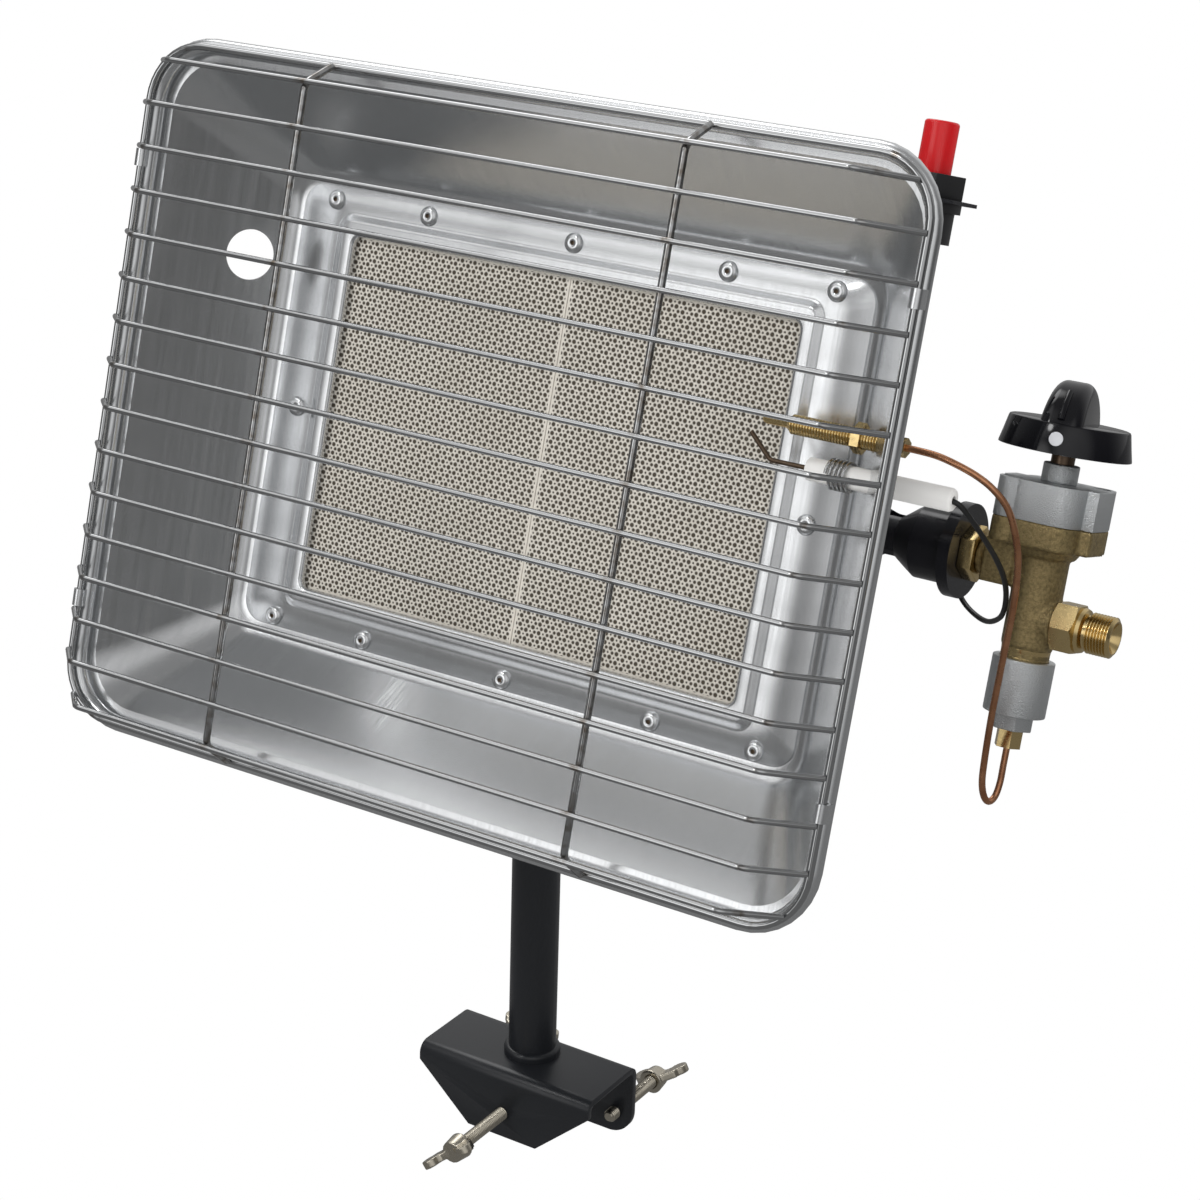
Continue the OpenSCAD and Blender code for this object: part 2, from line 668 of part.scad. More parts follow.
module burner_box() {
    in_w = throat_w - 2 * box_step;
    in_h = throat_h - 2 * box_step;
    color([0.6, 0.61, 0.62]) on_head() difference() {
        union() {
            slab(box_y, sheet) round_rect(box_flange_w, box_flange_h, 4);
            slab(box_y, tile_t + sheet) round_rect(throat_w + 2 * sheet, throat_h + 2 * sheet, 4);
            slab(box_y, box_d) round_rect(in_w + 2 * sheet, in_h + 2 * sheet, 4);
        }
        slab(box_y - 1, tile_t + 1) round_rect(throat_w, throat_h, throat_r);
        slab(box_y, box_d - sheet) round_rect(in_w, in_h, 3);
        translate([0, gas_y, gas_z]) bar_x(in_w / 2 - 5, in_w, pipe_d + 2 * snug);
        for (p = rivet_at) translate([p[0], 0, p[1]]) rotate([-90, 0, 0])
            cylinder(h = dish_d * 2, r = rivet_d / 2 + snug);
        translate([-head_x, 0, 0]) for (p = bracket_screw_at) translate([p[0], box_back - 3, p[1]])
            rotate([-90, 0, 0]) cylinder(h = 5, d = 5 + 2 * snug);
    }
}

module gas_baffle() {
    w = 120;
    h = 80;
    y = tile_back + 11;
    foot = box_back - sheet - y;
    color([0.6, 0.61, 0.62]) on_head() {
        slab(y, sheet) round_rect(w, h, 6);
        for (sx = [-1, 1]) slab(y, foot) translate([sx * (w / 2 - sheet / 2), 0])
            square([sheet, 20], center = true);
    }
}

// ---- gas train ----

module mixer_tube() {
    r1 = pipe_d / 2;
    r2 = air_d / 2;
    wall = 1.2;
    x_wide = flange_x - 15.7;
    cone = 7;
    color([0.06, 0.06, 0.07]) on_head() translate([0, gas_y, gas_z]) difference() {
        turned_x([[r1 - wall, pipe_in_x], [r1, pipe_in_x], [r1, x_wide - cone], [r2, x_wide],
            [r2, flange_x - flange_t], [flange_d / 2, flange_x - flange_t], [flange_d / 2, flange_x],
            [5.1, flange_x], [5.1, flange_x - 2], [r2 - wall, flange_x - flange_t],
            [r2 - wall, x_wide], [r1 - wall, x_wide - cone]]);
        // air window through both sides of the narrow pipe
        translate([x_wide - 8, 0, -r2]) linear_extrude(2 * r2) round_rect(12, 9, 3);
    }
}

module jet_holder() {
    color([0.72, 0.58, 0.25]) on_head() translate([0, gas_y, gas_z])
        turned_x([[0.5, flange_x - 12], [2, flange_x - 12], [3.4, flange_x - 8], [5, flange_x - 8],
            [5, leg_x], [0.5, leg_x]]);
}

module mixer_locknut() {
    color([0.75, 0.62, 0.3]) on_head() translate([0, gas_y, gas_z]) difference() {
        hex_x(flange_x, flange_x + locknut_t, jet_hex);
        bar_x(flange_x - 1, flange_x + locknut_t + 1, 10 + 2 * snug);
    }
}

module valve_outline() {
    circle(r = body_d * 0.79);
    round_rect(body_d * 1.54, body_d * 1.78, 8);
    for (a = [45, 225]) rotate(a) translate([lobe_out, 0]) circle(r = 4.6);
    translate([0, -lobe_w / 2]) square([body_d * 1, lobe_w]);
    translate([-body_d * 0.98, -5]) square([body_d * 0.98, 10]);
}

module valve_body() {
    r = body_d / 2;
    color([0.5, 0.42, 0.22]) on_head() translate([valve_x, gas_y, 0]) difference() {
        union() {
            translate([0, 0, 8]) linear_extrude(flange_top - 8) valve_outline();
            translate([0, 0, 5]) cylinder(h = 4, r1 = body_d * 0.58, r2 = body_d * 0.73);
            translate([0, 0, body_low]) cylinder(h = 34, r = r);
            translate([0, 0, neck_low]) cylinder(h = 8, r = neck_r);
            translate([-(valve_x - leg_x), 0, gas_z]) rotate([0, 90, 0]) cylinder(h = valve_x - leg_x, r = 6);
            translate([-(valve_x - leg_x) + 3, -7.2, gas_z - 7.2]) cube([10, 14.4, 14.4]);
            translate([0, 0, inlet_z]) rotate([0, 90, 0]) cylinder(h = inlet_x0 - valve_x, r = 7.4);
        }
        translate([0, 0, -18]) cylinder(h = 50, r = 3.6);
        translate([0, 0, neck_low - 1]) cylinder(h = 12, r = 4.4);
        translate([-(valve_x - leg_x) - 1, 0, gas_z]) rotate([0, 90, 0]) cylinder(h = valve_x - leg_x, r = 2);
        translate([0, 0, inlet_z]) rotate([0, 90, 0]) cylinder(h = 20, r = 3);
    }
}

module valve_bonnet() {
    color([0.6, 0.63, 0.66]) on_head() translate([valve_x, gas_y, flange_top]) difference() {
        linear_extrude(bonnet_h) valve_outline();
        translate([0, 0, -1]) cylinder(h = bonnet_h - 3, r = 7);
        translate([0, 0, -1]) cylinder(h = bonnet_h + 2, r = stem_d / 2 + fit);
        for (a = [45, 225]) rotate(a) translate([lobe_out, 0, bonnet_h - 3]) cylinder(h = 4, d = 6.2);
    }
}

module bonnet_screws() {
    color([0.7, 0.7, 0.7]) on_head() translate([valve_x, gas_y, bonnet_top]) for (a = [45, 225])
        rotate(a) translate([lobe_out, 0, -3]) difference() {
            cylinder(h = 2.4, d = 6);
            translate([-3, -0.5, 1.4]) cube([6, 1, 2]);
        }
}

module stem_collar() {
    color([0.6, 0.63, 0.66]) on_head() translate([valve_x, gas_y, bonnet_top]) difference() {
        cylinder(h = collar_h, d = collar_d);
        translate([0, 0, -1]) cylinder(h = collar_h + 2, r = stem_d / 2 + fit);
    }
}

module valve_stem() {
    low = flange_top + 5;
    color([0.45, 0.38, 0.3]) on_head() translate([valve_x, gas_y, low])
        cylinder(h = knob_z + 5 - low, d = stem_d);
}

// Return spring under the stem, hidden in the bonnet
module stem_spring() {
    low = 5;
    color([0.7, 0.7, 0.7]) on_head() translate([valve_x, gas_y, low]) difference() {
        cylinder(h = flange_top + 5 - low - knob_push - gap, r = 3.2);
        translate([0, 0, -1]) cylinder(h = 30, r = 2.4);
    }
}

module control_knob() {
    r = knob_d / 2;
    fin_t = 13;
    fin_r = 21;
    top = 22.4;
    color([0.03, 0.03, 0.035]) on_head() translate([valve_x, gas_y, knob_z]) rotate(pointer)
        difference() {
            union() {
                cylinder(h = knob_h, r1 = r, r2 = r - 2.2);
                intersection() {
                    translate([-fin_t / 2, 0, top - fin_r]) rotate([0, 90, 0]) cylinder(h = fin_t, r = fin_r);
                    translate([0, 0, 0]) cylinder(h = top + 1, r1 = r, r2 = r - 3);
                    translate([-r, -r, 0.5]) cube([2 * r, 2 * r, top + 1]);
                }
            }
            translate([0, 0, -eps]) cylinder(h = 3, r = r - 2.5);
            translate([0, 0, -eps]) cylinder(h = 5 + eps, r = stem_d / 2 + snug);
        }
}

module inlet_connector() {
    r = inlet_d / 2;
    x1 = inlet_x0;
    x2 = x1 + inlet_hex_t;
    x3 = x2 + inlet_neck;
    color([0.75, 0.62, 0.3]) on_head() translate([0, gas_y, inlet_z]) difference() {
        union() {
            hex_x(x1, x2, inlet_hex);
            bar_x(x2 - 1, x3 + 1, r * 2 - 2.4);
            bar_x(x3, inlet_end, inlet_d);
        }
        turned_x([[0, x1 - 1], [3, x1 - 1], [3, inlet_end - 4], [5, inlet_end + eps], [5, inlet_end + 1],
            [0, inlet_end + 1]]);
    }
}

module magnet_unit() {
    color([0.6, 0.63, 0.66]) on_head() translate([valve_x, gas_y, 0]) difference() {
        union() {
            translate([0, 0, cup_low]) cylinder(h = neck_low + 3 - cup_low, d = cup_d);
            translate([0, 0, mag_low]) cylinder(h = cup_low - mag_low + 1, d = mag_hex / cos(30), $fn = 6);
        }
        translate([0, 0, neck_low]) cylinder(h = 5, r = neck_r + snug);
        translate([0, 0, mag_low - 1]) cylinder(h = 30, r = 2.6);
    }
}

module lead_nut() {
    color([0.72, 0.58, 0.25]) on_head() translate([valve_x, gas_y, 0]) difference() {
        union() {
            translate([0, 0, lead_low]) cylinder(h = mag_low - lead_low, d = lead_hex / cos(30), $fn = 6);
            translate([0, 0, mag_low - 1]) cylinder(h = 6, r = 2.5);
        }
        translate([0, 0, lead_low - 1]) cylinder(h = 30, r = lead_d / 2 + snug);
    }
}

module copper_lead() {
    color([0.6, 0.34, 0.22]) on_head() lead(smooth_path(lead_path, 4), lead_d, 8, [0, 1, 0]);
}

// ---- probe and electrode ----

module thermocouple_sleeve() {
    color([0.7, 0.55, 0.2]) on_head() translate([0, probe_y, probe_z]) difference() {
        turned_x([[0, tip_x], [1.2, tip_x], [1.6, tip_x + 1], [1.6, sleeve_x0 - 2], [sleeve_d / 2 - 0.8, sleeve_x0],
            [sleeve_d / 2, sleeve_x0 + 1], [sleeve_d / 2, sleeve_x1], [0, sleeve_x1]]);
        bar_x(sleeve_x1 - 4, sleeve_x1 + 1, rear_hex - 1.6);
    }
}

// A nut inside the wall, one outside, and the small one that holds the lead
module thermocouple_nuts() {
    color([0.65, 0.5, 0.2]) on_head() translate([0, probe_y, probe_z]) {
        for (x = [wall_at_probe - probe_nut_t - probe_nut_off, wall_at_probe + sheet + probe_nut_off]) difference() {
            hex_x(x, x + probe_nut_t, probe_hex);
            bar_x(x - 1, x + probe_nut_t + 1, sleeve_d + 2 * snug);
        }
        difference() {
            union() {
                bar_x(sleeve_x1 - 4, sleeve_x1 + 1, rear_hex - 1.6 - 2 * snug);
                hex_x(sleeve_x1 + eps, rear_x1, rear_hex);
            }
            bar_x(sleeve_x1 - 5, rear_x1 + 1, lead_d + 2 * snug);
        }
    }
}

module electrode_insulator() {
    r = ceramic_d / 2;
    color([0.93, 0.92, 0.9]) on_head() translate([0, probe_y, spark_z]) difference() {
        turned_x([[0, ceramic_x0], [r - 0.8, ceramic_x0], [r, ceramic_x0 + 0.8],
            [r, ceramic_x1 - 0.8], [r - 0.8, ceramic_x1], [0, ceramic_x1]]);
        bar_x(ceramic_x0 - 1, ceramic_x0 + 8, 1.6 + 2 * snug);
        bar_x(ceramic_x1 - 8, ceramic_x1 + 1, 2.6);
    }
}

rod_d = 1.6;
rod_path = [[ceramic_x0 + 7, probe_y, spark_z], [ceramic_x0 - 12, probe_y, spark_z],
    [ceramic_x0 - 14, probe_y, spark_z + 0.4], [ceramic_x0 - 15.5, probe_y, spark_z + 1.6],
    [tip_x - 3.5, probe_y, spark_z + 7.5]];
module electrode_rod() {
    color([0.5, 0.47, 0.44]) on_head() lead(rod_path, rod_d, 12, [0, 1, 0]);
}

clip_pitch = clip_wire + 0.5;
clip_r = ceramic_d / 2 + clip_wire / 2 + 0.45;
clip_x0 = wall_at_probe - (clip_r + 2) * wall_slope - 1 - clip_turns * clip_pitch;
clip_path = concat([for (i = [0 : clip_turns * 8]) let (a = 45 * i)
    [clip_x0 + clip_pitch * a / 360, probe_y - clip_r * cos(a), spark_z + clip_r * sin(a)]]);
echo(clip_gap = clip_pitch * 0.99 - clip_wire);

module electrode_clip() {
    color([0.75, 0.75, 0.75]) on_head() lead(clip_path, clip_wire, 6, [1, 0, 0]);
}

module ignition_cable() {
    color([0.03, 0.03, 0.03]) on_head() lead(smooth_path(cable_path, 3), cable_d, 8, [0, 0, 1]);
}

// ---- igniter ----

module igniter_bracket() {
    foot_x0 = rivet_xs[4] - rivet_d * 2;
    foot_x1 = rivet_xs[4] + rivet_d * 3;
    foot_z = rivet_top - rivet_d * 1.75;
    y0 = box_y + sheet;
    color([0.1, 0.1, 0.11]) on_head() difference() {
        union() {
            translate([foot_x0, y0, foot_z]) cube([foot_x1 - foot_x0, shelf_t, shelf_z + shelf_t - foot_z]);
            translate([foot_x0, y0, shelf_z])
                cube([igniter_x + igniter_nut_d / 2 + 1 - foot_x0, 2 * (igniter_y - y0) + 1, shelf_t]);
        }
        translate([igniter_x, igniter_y, shelf_z - 1]) cylinder(h = 4, r = igniter_d / 2 + snug);
        for (p = rivet_at) translate([p[0], 0, p[1]]) rotate([-90, 0, 0])
            cylinder(h = dish_d * 2, r = rivet_d / 2 + snug);
    }
}

module igniter_body() {
    color([0.07, 0.07, 0.08]) on_head() translate([igniter_x, igniter_y, 0]) difference() {
        union() {
            translate([0, 0, igniter_low]) cylinder(h = igniter_top - igniter_low - 1, d = igniter_d);
            translate([0, 0, shelf_z - 3]) cylinder(h = 3, d = igniter_d + 3.5);
        }
        translate([0, 0, igniter_top - 14]) cylinder(h = 20, r = button_d / 2 + fit);
        translate([0, 0, igniter_low - 1]) cylinder(h = 6, r = cable_d / 2 + gap);
    }
}

module igniter_nut() {
    color([0.07, 0.07, 0.08]) on_head() translate([igniter_x, igniter_y, shelf_z + shelf_t]) difference() {
        cylinder(h = igniter_nut_h, d = igniter_nut_d, $fn = 6);
        translate([0, 0, -1]) cylinder(h = igniter_nut_h, r = igniter_d / 2 + snug);
        translate([0, 0, -1]) cylinder(h = igniter_nut_h + 2, r = button_d / 2 + gap);
    }
}

module igniter_button() {
    r = button_d / 2;
    color([0.7, 0.05, 0.06]) on_head() translate([igniter_x, igniter_y, igniter_top - 6.5])
        rotate_extrude() polygon([[0, 0], [r, 0], [r, 6.5 + button_h - 0.6], [r - 0.6, 6.5 + button_h],
            [0, 6.5 + button_h]]);
}

module igniter_spring() {
    low = igniter_top - 14 + 0.1;
    color([0.7, 0.7, 0.7]) on_head() translate([igniter_x, igniter_y, low]) difference() {
        cylinder(h = 1.2, r = button_d / 2 - 0.6);
        translate([0, 0, -1]) cylinder(h = 9, r = button_d / 2 - 1.6);
    }
}

clamp_bracket();
support_tube();
front_stud();
front_wing();
left_stud();
left_wing();
right_stud();
right_wing();
tilt_bolt();
tilt_wing_nut();
rear_bracket();
bracket_screws();
reflector();
guard_tabs();
wire_guard();
burner_bezel();
bezel_rivets();
tile_gasket();
left_tile();
right_tile();
burner_box();
gas_baffle();
mixer_tube();
jet_holder();
mixer_locknut();
valve_body();
valve_bonnet();
bonnet_screws();
stem_collar();
valve_stem();
stem_spring();
control_knob();
inlet_connector();
magnet_unit();
lead_nut();
copper_lead();
thermocouple_sleeve();
thermocouple_nuts();
electrode_insulator();
electrode_rod();
electrode_clip();
ignition_cable();
igniter_bracket();
igniter_body();
igniter_nut();
igniter_button();
igniter_spring();
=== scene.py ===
# %% [markdown]
# # A gas heater that clamps to a bottle
# The heater is a pressed aluminium dish with a wire guard, two pierced ceramic tiles and a gas
# valve on its right side. It tilts on a tube that is clamped to the bottle's collar.
# The CAD model is loaded first, as a fixed frame: it gives every size and every moving body.
# The rest of the file gives its pieces their finish, and remakes those whose real shape is softer,
# rounder or finer than the exact solids.

import json
import math

import bpy
from mathutils import Euler, Matrix, Vector


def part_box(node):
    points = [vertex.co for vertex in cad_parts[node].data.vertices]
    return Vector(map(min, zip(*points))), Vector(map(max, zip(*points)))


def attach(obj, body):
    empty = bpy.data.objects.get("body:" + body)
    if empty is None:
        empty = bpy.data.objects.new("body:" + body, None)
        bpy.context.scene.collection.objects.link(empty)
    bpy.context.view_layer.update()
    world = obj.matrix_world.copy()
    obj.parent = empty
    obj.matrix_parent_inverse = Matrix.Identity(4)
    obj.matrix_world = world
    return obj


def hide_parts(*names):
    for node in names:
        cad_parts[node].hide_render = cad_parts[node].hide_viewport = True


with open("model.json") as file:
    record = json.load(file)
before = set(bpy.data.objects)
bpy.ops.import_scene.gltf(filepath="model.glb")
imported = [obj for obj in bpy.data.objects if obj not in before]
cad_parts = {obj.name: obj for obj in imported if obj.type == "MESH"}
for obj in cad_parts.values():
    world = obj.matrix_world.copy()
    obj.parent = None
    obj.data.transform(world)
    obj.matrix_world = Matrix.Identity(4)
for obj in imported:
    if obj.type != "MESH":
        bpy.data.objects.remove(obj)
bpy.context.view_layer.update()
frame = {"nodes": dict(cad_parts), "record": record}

# %% [markdown]
# The dish and all that hangs on it lean back on the tilt bolt. Drawing them upright in their own
# frame is far easier than drawing them tilted, so one matrix carries millimetres in the head's
# frame (x right, y back from the rim, z up) to metres in the row's frame.

# %% The head's own frame
TILT = math.radians(15)
HEAD_X, PIVOT_Z, PIVOT_Y, PIVOT_DROP = 7, 147.7, 85, 88
MM = Matrix.Scale(0.001, 4)
HEAD = (
    MM
    @ Matrix.Translation((HEAD_X, 0, PIVOT_Z))
    @ Matrix.Rotation(-TILT, 4, "X")
    @ Matrix.Translation((0, -PIVOT_Y, PIVOT_DROP))
)
print("rim's middle at", [round(v, 4) for v in HEAD @ Vector((0, 0, 0))])


# %% [markdown]
# Operators act on whatever is selected, so each helper clears the selection before it starts. A
# piece is drawn where that is easy, and a matrix then carries its mesh into place. Its object stays
# at the origin, because the bodies move their pieces from there.

# %% Helpers for objects
def deselect():
    if bpy.context.object and bpy.context.object.mode != "OBJECT":
        bpy.ops.object.mode_set(mode="OBJECT")
    bpy.ops.object.select_all(action="DESELECT")


def choose(obj):
    deselect()
    obj.select_set(True)
    bpy.context.view_layer.objects.active = obj


def settle(obj, place=HEAD):
    """Carries a piece's mesh from its drawing frame to the row's frame."""
    choose(obj)
    obj.matrix_world = place @ obj.matrix_world
    bpy.ops.object.transform_apply(location=True, rotation=True, scale=True)
    return obj


def smooth(obj, degrees=40):
    """Shades a piece smooth, apart from the edges sharper than this."""
    choose(obj)
    bpy.ops.object.shade_smooth_by_angle(angle=math.radians(degrees))
    return obj


def apply_modifier(obj, kind, **settings):
    choose(obj)
    bpy.ops.object.modifier_add(type=kind)
    modifier = obj.modifiers[-1]
    for key, value in settings.items():
        setattr(modifier, key, value)
    bpy.ops.object.modifier_apply(modifier=modifier.name)


def join(objects):
    deselect()
    for obj in objects:
        obj.select_set(True)
    bpy.context.view_layer.objects.active = objects[0]
    bpy.ops.object.join()
    return bpy.context.object


def keep(obj, name, body, material, slot, *nodes):
    """Names a finished piece, gives it its finish and hides the CAD nodes that it stands for."""
    obj.name = name
    obj.data.materials.clear()
    obj.data.materials.append(material)
    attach(obj, body)
    if nodes:
        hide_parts(*nodes)
    print(name, len(obj.data.polygons), "faces")


# %% [markdown]
# ## Finishes
# Each finish is a Principled shader, with nodes that vary its colour, roughness or relief. The
# helpers below make a node and link it in one line, so that a finish reads as a short recipe.

# %% Helpers for materials
FINISHES = {}


def node(tree, kind, *sources, **values):
    """A new node. Each value sets the setting or the input of that name.

    The sources fill its first inputs, as a link if the source is another node's output.
    """
    made = tree.nodes.new("ShaderNode" + kind)
    for key, value in values.items():
        if hasattr(made, key):
            setattr(made, key, value)
        else:
            made.inputs[key.replace("_", " ")].default_value = value
    for socket, source in zip(made.inputs, sources):
        if isinstance(source, bpy.types.NodeSocket):
            tree.links.new(source, socket)
        else:
            socket.default_value = source
    return made


def math_node(tree, operation, *sources):
    return node(tree, "Math", *sources, operation=operation).outputs[0]


def vector_node(tree, operation, *sources):
    return node(tree, "VectorMath", *sources, operation=operation).outputs[0]


def finish(name, colour, metallic, roughness, **more):
    material = bpy.data.materials.new(name)
    material.use_nodes = True
    shader = material.node_tree.nodes["Principled BSDF"]
    shader.inputs["Base Color"].default_value = (*colour, 1)
    shader.inputs["Metallic"].default_value = metallic
    shader.inputs["Roughness"].default_value = roughness
    for key, value in more.items():
        shader.inputs[key.replace("_", " ")].default_value = value
    FINISHES[name] = material
    return material


def drive(material, label, output):
    """Lets a node's output set this input of the material's shader."""
    tree = material.node_tree
    tree.links.new(output, tree.nodes["Principled BSDF"].inputs[label])


# %% [markdown]
# What more than one finish uses is a node group. The first gives the place of a point in the head's
# frame in millimetres. It starts from Object coordinates, so a finish stays on its piece when the
# piece moves.

# %% Group: the place of a point in the head's frame
def new_group(name, inputs, outputs):
    group = bpy.data.node_groups.new(name, "ShaderNodeTree")
    for label, kind, value in inputs:
        socket = group.interface.new_socket(label, in_out="INPUT", socket_type="NodeSocket" + kind)
        socket.default_value = value
    for label, kind in outputs:
        group.interface.new_socket(label, in_out="OUTPUT", socket_type="NodeSocket" + kind)
    return group, group.nodes.new("NodeGroupInput"), group.nodes.new("NodeGroupOutput")


def use(tree, group, **values):
    made = tree.nodes.new("ShaderNodeGroup")
    made.node_tree = group
    for key, value in values.items():
        made.inputs[key].default_value = value
    return made


head_place, _, gout = new_group("head place", [], [("Place", "Vector")])
turn_back = Euler((TILT, 0, 0)).to_matrix()
shift = Vector((0, PIVOT_Y, -PIVOT_DROP)) - turn_back @ Vector((HEAD_X, 0, PIVOT_Z))
spot = node(head_place, "TexCoord").outputs["Object"]
mapping = node(
    head_place, "Mapping", spot, Location=shift, Rotation=(TILT, 0, 0), Scale=(1000, 1000, 1000)
)
head_place.links.new(mapping.outputs["Vector"], gout.inputs["Place"])
print("group", head_place.name, "starts at", [round(v, 1) for v in shift])

# %% [markdown]
# No real surface is even: paint has a skin, rolled sheet has streaks and a casting has grain. The
# second group is noise that can be stretched, spread between a low and a high value. Three helpers
# send it to the roughness, the relief or the colour.

# %% Group: uneven value over a surface
uneven, gin, gout = new_group(
    "uneven",
    [("Scale", "Float", 1.0), ("Stretch", "Vector", (1, 1, 1)), ("Low", "Float", 0.2),
     ("High", "Float", 0.4)],
    [("Value", "Float"), ("Raw", "Float")],
)
NOISE_LOW, NOISE_HIGH = 0.3, 0.7  # where nearly all of the noise lies
place = use(uneven, head_place).outputs["Place"]
noise = node(
    uneven, "TexNoise", vector_node(uneven, "MULTIPLY", place, gin.outputs["Stretch"]),
    Detail=4.0, Roughness=0.55,
)
uneven.links.new(gin.outputs["Scale"], noise.inputs["Scale"])
spread = node(
    uneven, "MapRange", noise.outputs["Fac"], NOISE_LOW, NOISE_HIGH, gin.outputs["Low"],
    gin.outputs["High"],
)
uneven.links.new(spread.outputs["Result"], gout.inputs["Value"])
uneven.links.new(noise.outputs["Fac"], gout.inputs["Raw"])


def roughness_varies(material, low, high, scale, stretch=(1, 1, 1)):
    group = use(material.node_tree, uneven, Scale=scale, Stretch=stretch, Low=low, High=high)
    drive(material, "Roughness", group.outputs["Value"])
    return material


def relief(material, scale, strength, distance=0.0001):
    tree = material.node_tree
    bump = node(tree, "Bump", Strength=strength, Distance=distance)
    tree.links.new(use(tree, uneven, Scale=scale).outputs["Raw"], bump.inputs["Height"])
    drive(material, "Normal", bump.outputs["Normal"])
    return material


MIX_A, MIX_B, MIX_RESULT = 6, 7, 2  # where a Mix node has its colours, two in and one out


def mixed(tree, amount, first, second):
    """A colour between two, of which the first may be another node's output."""
    mix = node(tree, "Mix", amount, data_type="RGBA")
    if isinstance(first, bpy.types.NodeSocket):
        tree.links.new(first, mix.inputs[MIX_A])
    else:
        mix.inputs[MIX_A].default_value = (*first, 1)
    mix.inputs[MIX_B].default_value = (*second, 1)
    return mix.outputs[MIX_RESULT]


def colour_varies(material, first, second, scale, stretch=(1, 1, 1)):
    tree = material.node_tree
    amount = use(tree, uneven, Scale=scale, Stretch=stretch, Low=0, High=1).outputs["Value"]
    colour = mixed(tree, amount, first, second)
    drive(material, "Base Color", colour)
    return colour


print("group", uneven.name, "with", len(uneven.nodes), "nodes")

# %% [markdown]
# Most finishes need no more than that. The blacks reflect a little less than plain plastic does,
# and the dish's sheet has long streaks from rolling. The CAD record names one slot for each finish.

# %% The plain finishes
ROLLED = (1, 0.05, 0.02)  # narrow from left to right, long in height and depth
black_paint = finish("black_paint", (0.010, 0.011, 0.013), 0, 0.3, Specular_IOR_Level=0.35)
relief(black_paint, 1.5, 0.12)
nickel = roughness_varies(finish("nickel", (0.52, 0.48, 0.40), 1, 0.3), 0.2, 0.36, 0.4)
roughness_varies(finish("zinc_steel", (0.55, 0.55, 0.53), 1, 0.3), 0.25, 0.4, 0.4)
aluminium = finish("aluminium", (0.66, 0.67, 0.68), 1, 0.3)
roughness_varies(aluminium, 0.2, 0.27, 0.9, ROLLED)
colour_varies(aluminium, (0.70, 0.71, 0.72), (0.66, 0.67, 0.68), 0.9, ROLLED)
relief(finish("fibre", (0.55, 0.54, 0.5), 0, 0.95), 1.0, 0.5)
roughness_varies(finish("aluminised", (0.5, 0.51, 0.52), 1, 0.4), 0.3, 0.45, 0.1)
black_steel = finish("black_steel", (0.006, 0.006, 0.008), 0, 0.2, Specular_IOR_Level=0.35)
roughness_varies(black_steel, 0.14, 0.24, 0.3)
machined_brass = finish("machined_brass", (0.66, 0.50, 0.24), 1, 0.2)
roughness_varies(machined_brass, 0.14, 0.3, 0.4)
relief(finish("zinc_cast", (0.68, 0.70, 0.71), 1, 0.38), 2.4, 0.6, distance=0.0006)
dark_steel = finish("dark_steel", (0.12, 0.085, 0.06), 1, 0.35)
roughness_varies(dark_steel, 0.25, 0.4, 0.4)
spring_steel = finish("spring_steel", (0.5, 0.5, 0.5), 1, 0.22)
black_gloss = finish("black_gloss", (0.003, 0.003, 0.0045), 0, 0.09, Specular_IOR_Level=0.35)
relief(finish("black_matte", (0.012, 0.012, 0.013), 0, 0.42), 1.4, 0.1)
white_ceramic = relief(finish("white_ceramic", (0.80, 0.79, 0.77), 0, 0.35), 0.5, 0.06)
finish("red_gloss", (0.52, 0.004, 0.007), 0, 0.22)
black_sleeve = finish("black_sleeve", (0.008, 0.008, 0.008), 0, 0.4)
white_paint = finish("white_paint", (0.62, 0.63, 0.66), 0, 0.4)
print(len(FINISHES), "plain finishes")

# %% [markdown]
# Sand-cast brass is brown and rough, with the sand's grain in its skin. Copper tarnishes in clouds.

# %% Cast brass and copper
cast_brass = finish("cast_brass", (0.2, 0.15, 0.06), 0.85, 0.45)
colour_varies(cast_brass, (0.19, 0.145, 0.07), (0.38, 0.29, 0.135), 0.9)
relief(cast_brass, 2.2, 0.7, distance=0.0003)
copper = roughness_varies(finish("copper", (0.55, 0.27, 0.15), 1, 0.3), 0.22, 0.36, 0.3)
colour_varies(copper, (0.62, 0.31, 0.17), (0.42, 0.19, 0.10), 0.2)
print("cast brass has", len(cast_brass.node_tree.nodes), "nodes")

# %% [markdown]
# The ceramic tiles glow red when the heater burns, because gas comes through thousands of fine
# holes. The holes lie on a triangular lattice in three sizes. Each size is again a triangular
# lattice, which is two rectangular ones, so six wrapped distances make the whole pattern. That is
# far lighter than thousands of real holes, and a margin at each tile's edge stays solid.

# %% The holes' pattern
HOLE_PITCH, HOLE_RADII = 1.75, (0.80, 0.62, 0.40)
HOLE_EDGE, HOLE_DEEP = 0.12, -0.22  # distance from the hole's edge where it starts and is full
TILE_W, TILE_H = 92, 132
SIDE_MARGIN, END_MARGIN = 0.9, 2.9
pierced, _, gout = new_group("pierced", [], [("Hole shade", "Float"), ("Height", "Float")])
place = use(pierced, head_place).outputs["Place"]
period = Vector((3 * HOLE_PITCH, 0, math.sqrt(3) * HOLE_PITCH))
half_cell = Vector((period.x / 2, 0.5, period.z / 2))
nearest = None
for size_index, hole_radius in enumerate(HOLE_RADII):
    for half in (0, 0.5):
        offset = (HOLE_PITCH * size_index + half * period.x, 0, half * period.z)
        moved = vector_node(pierced, "ADD", place, offset)
        wrapped = vector_node(pierced, "WRAP", moved, half_cell, -half_cell)
        flat = vector_node(pierced, "MULTIPLY", wrapped, (1, 0, 1))
        length = node(pierced, "VectorMath", flat, operation="LENGTH").outputs["Value"]
        edge = math_node(pierced, "SUBTRACT", length, hole_radius)
        nearest = edge if nearest is None else math_node(pierced, "MINIMUM", nearest, edge)
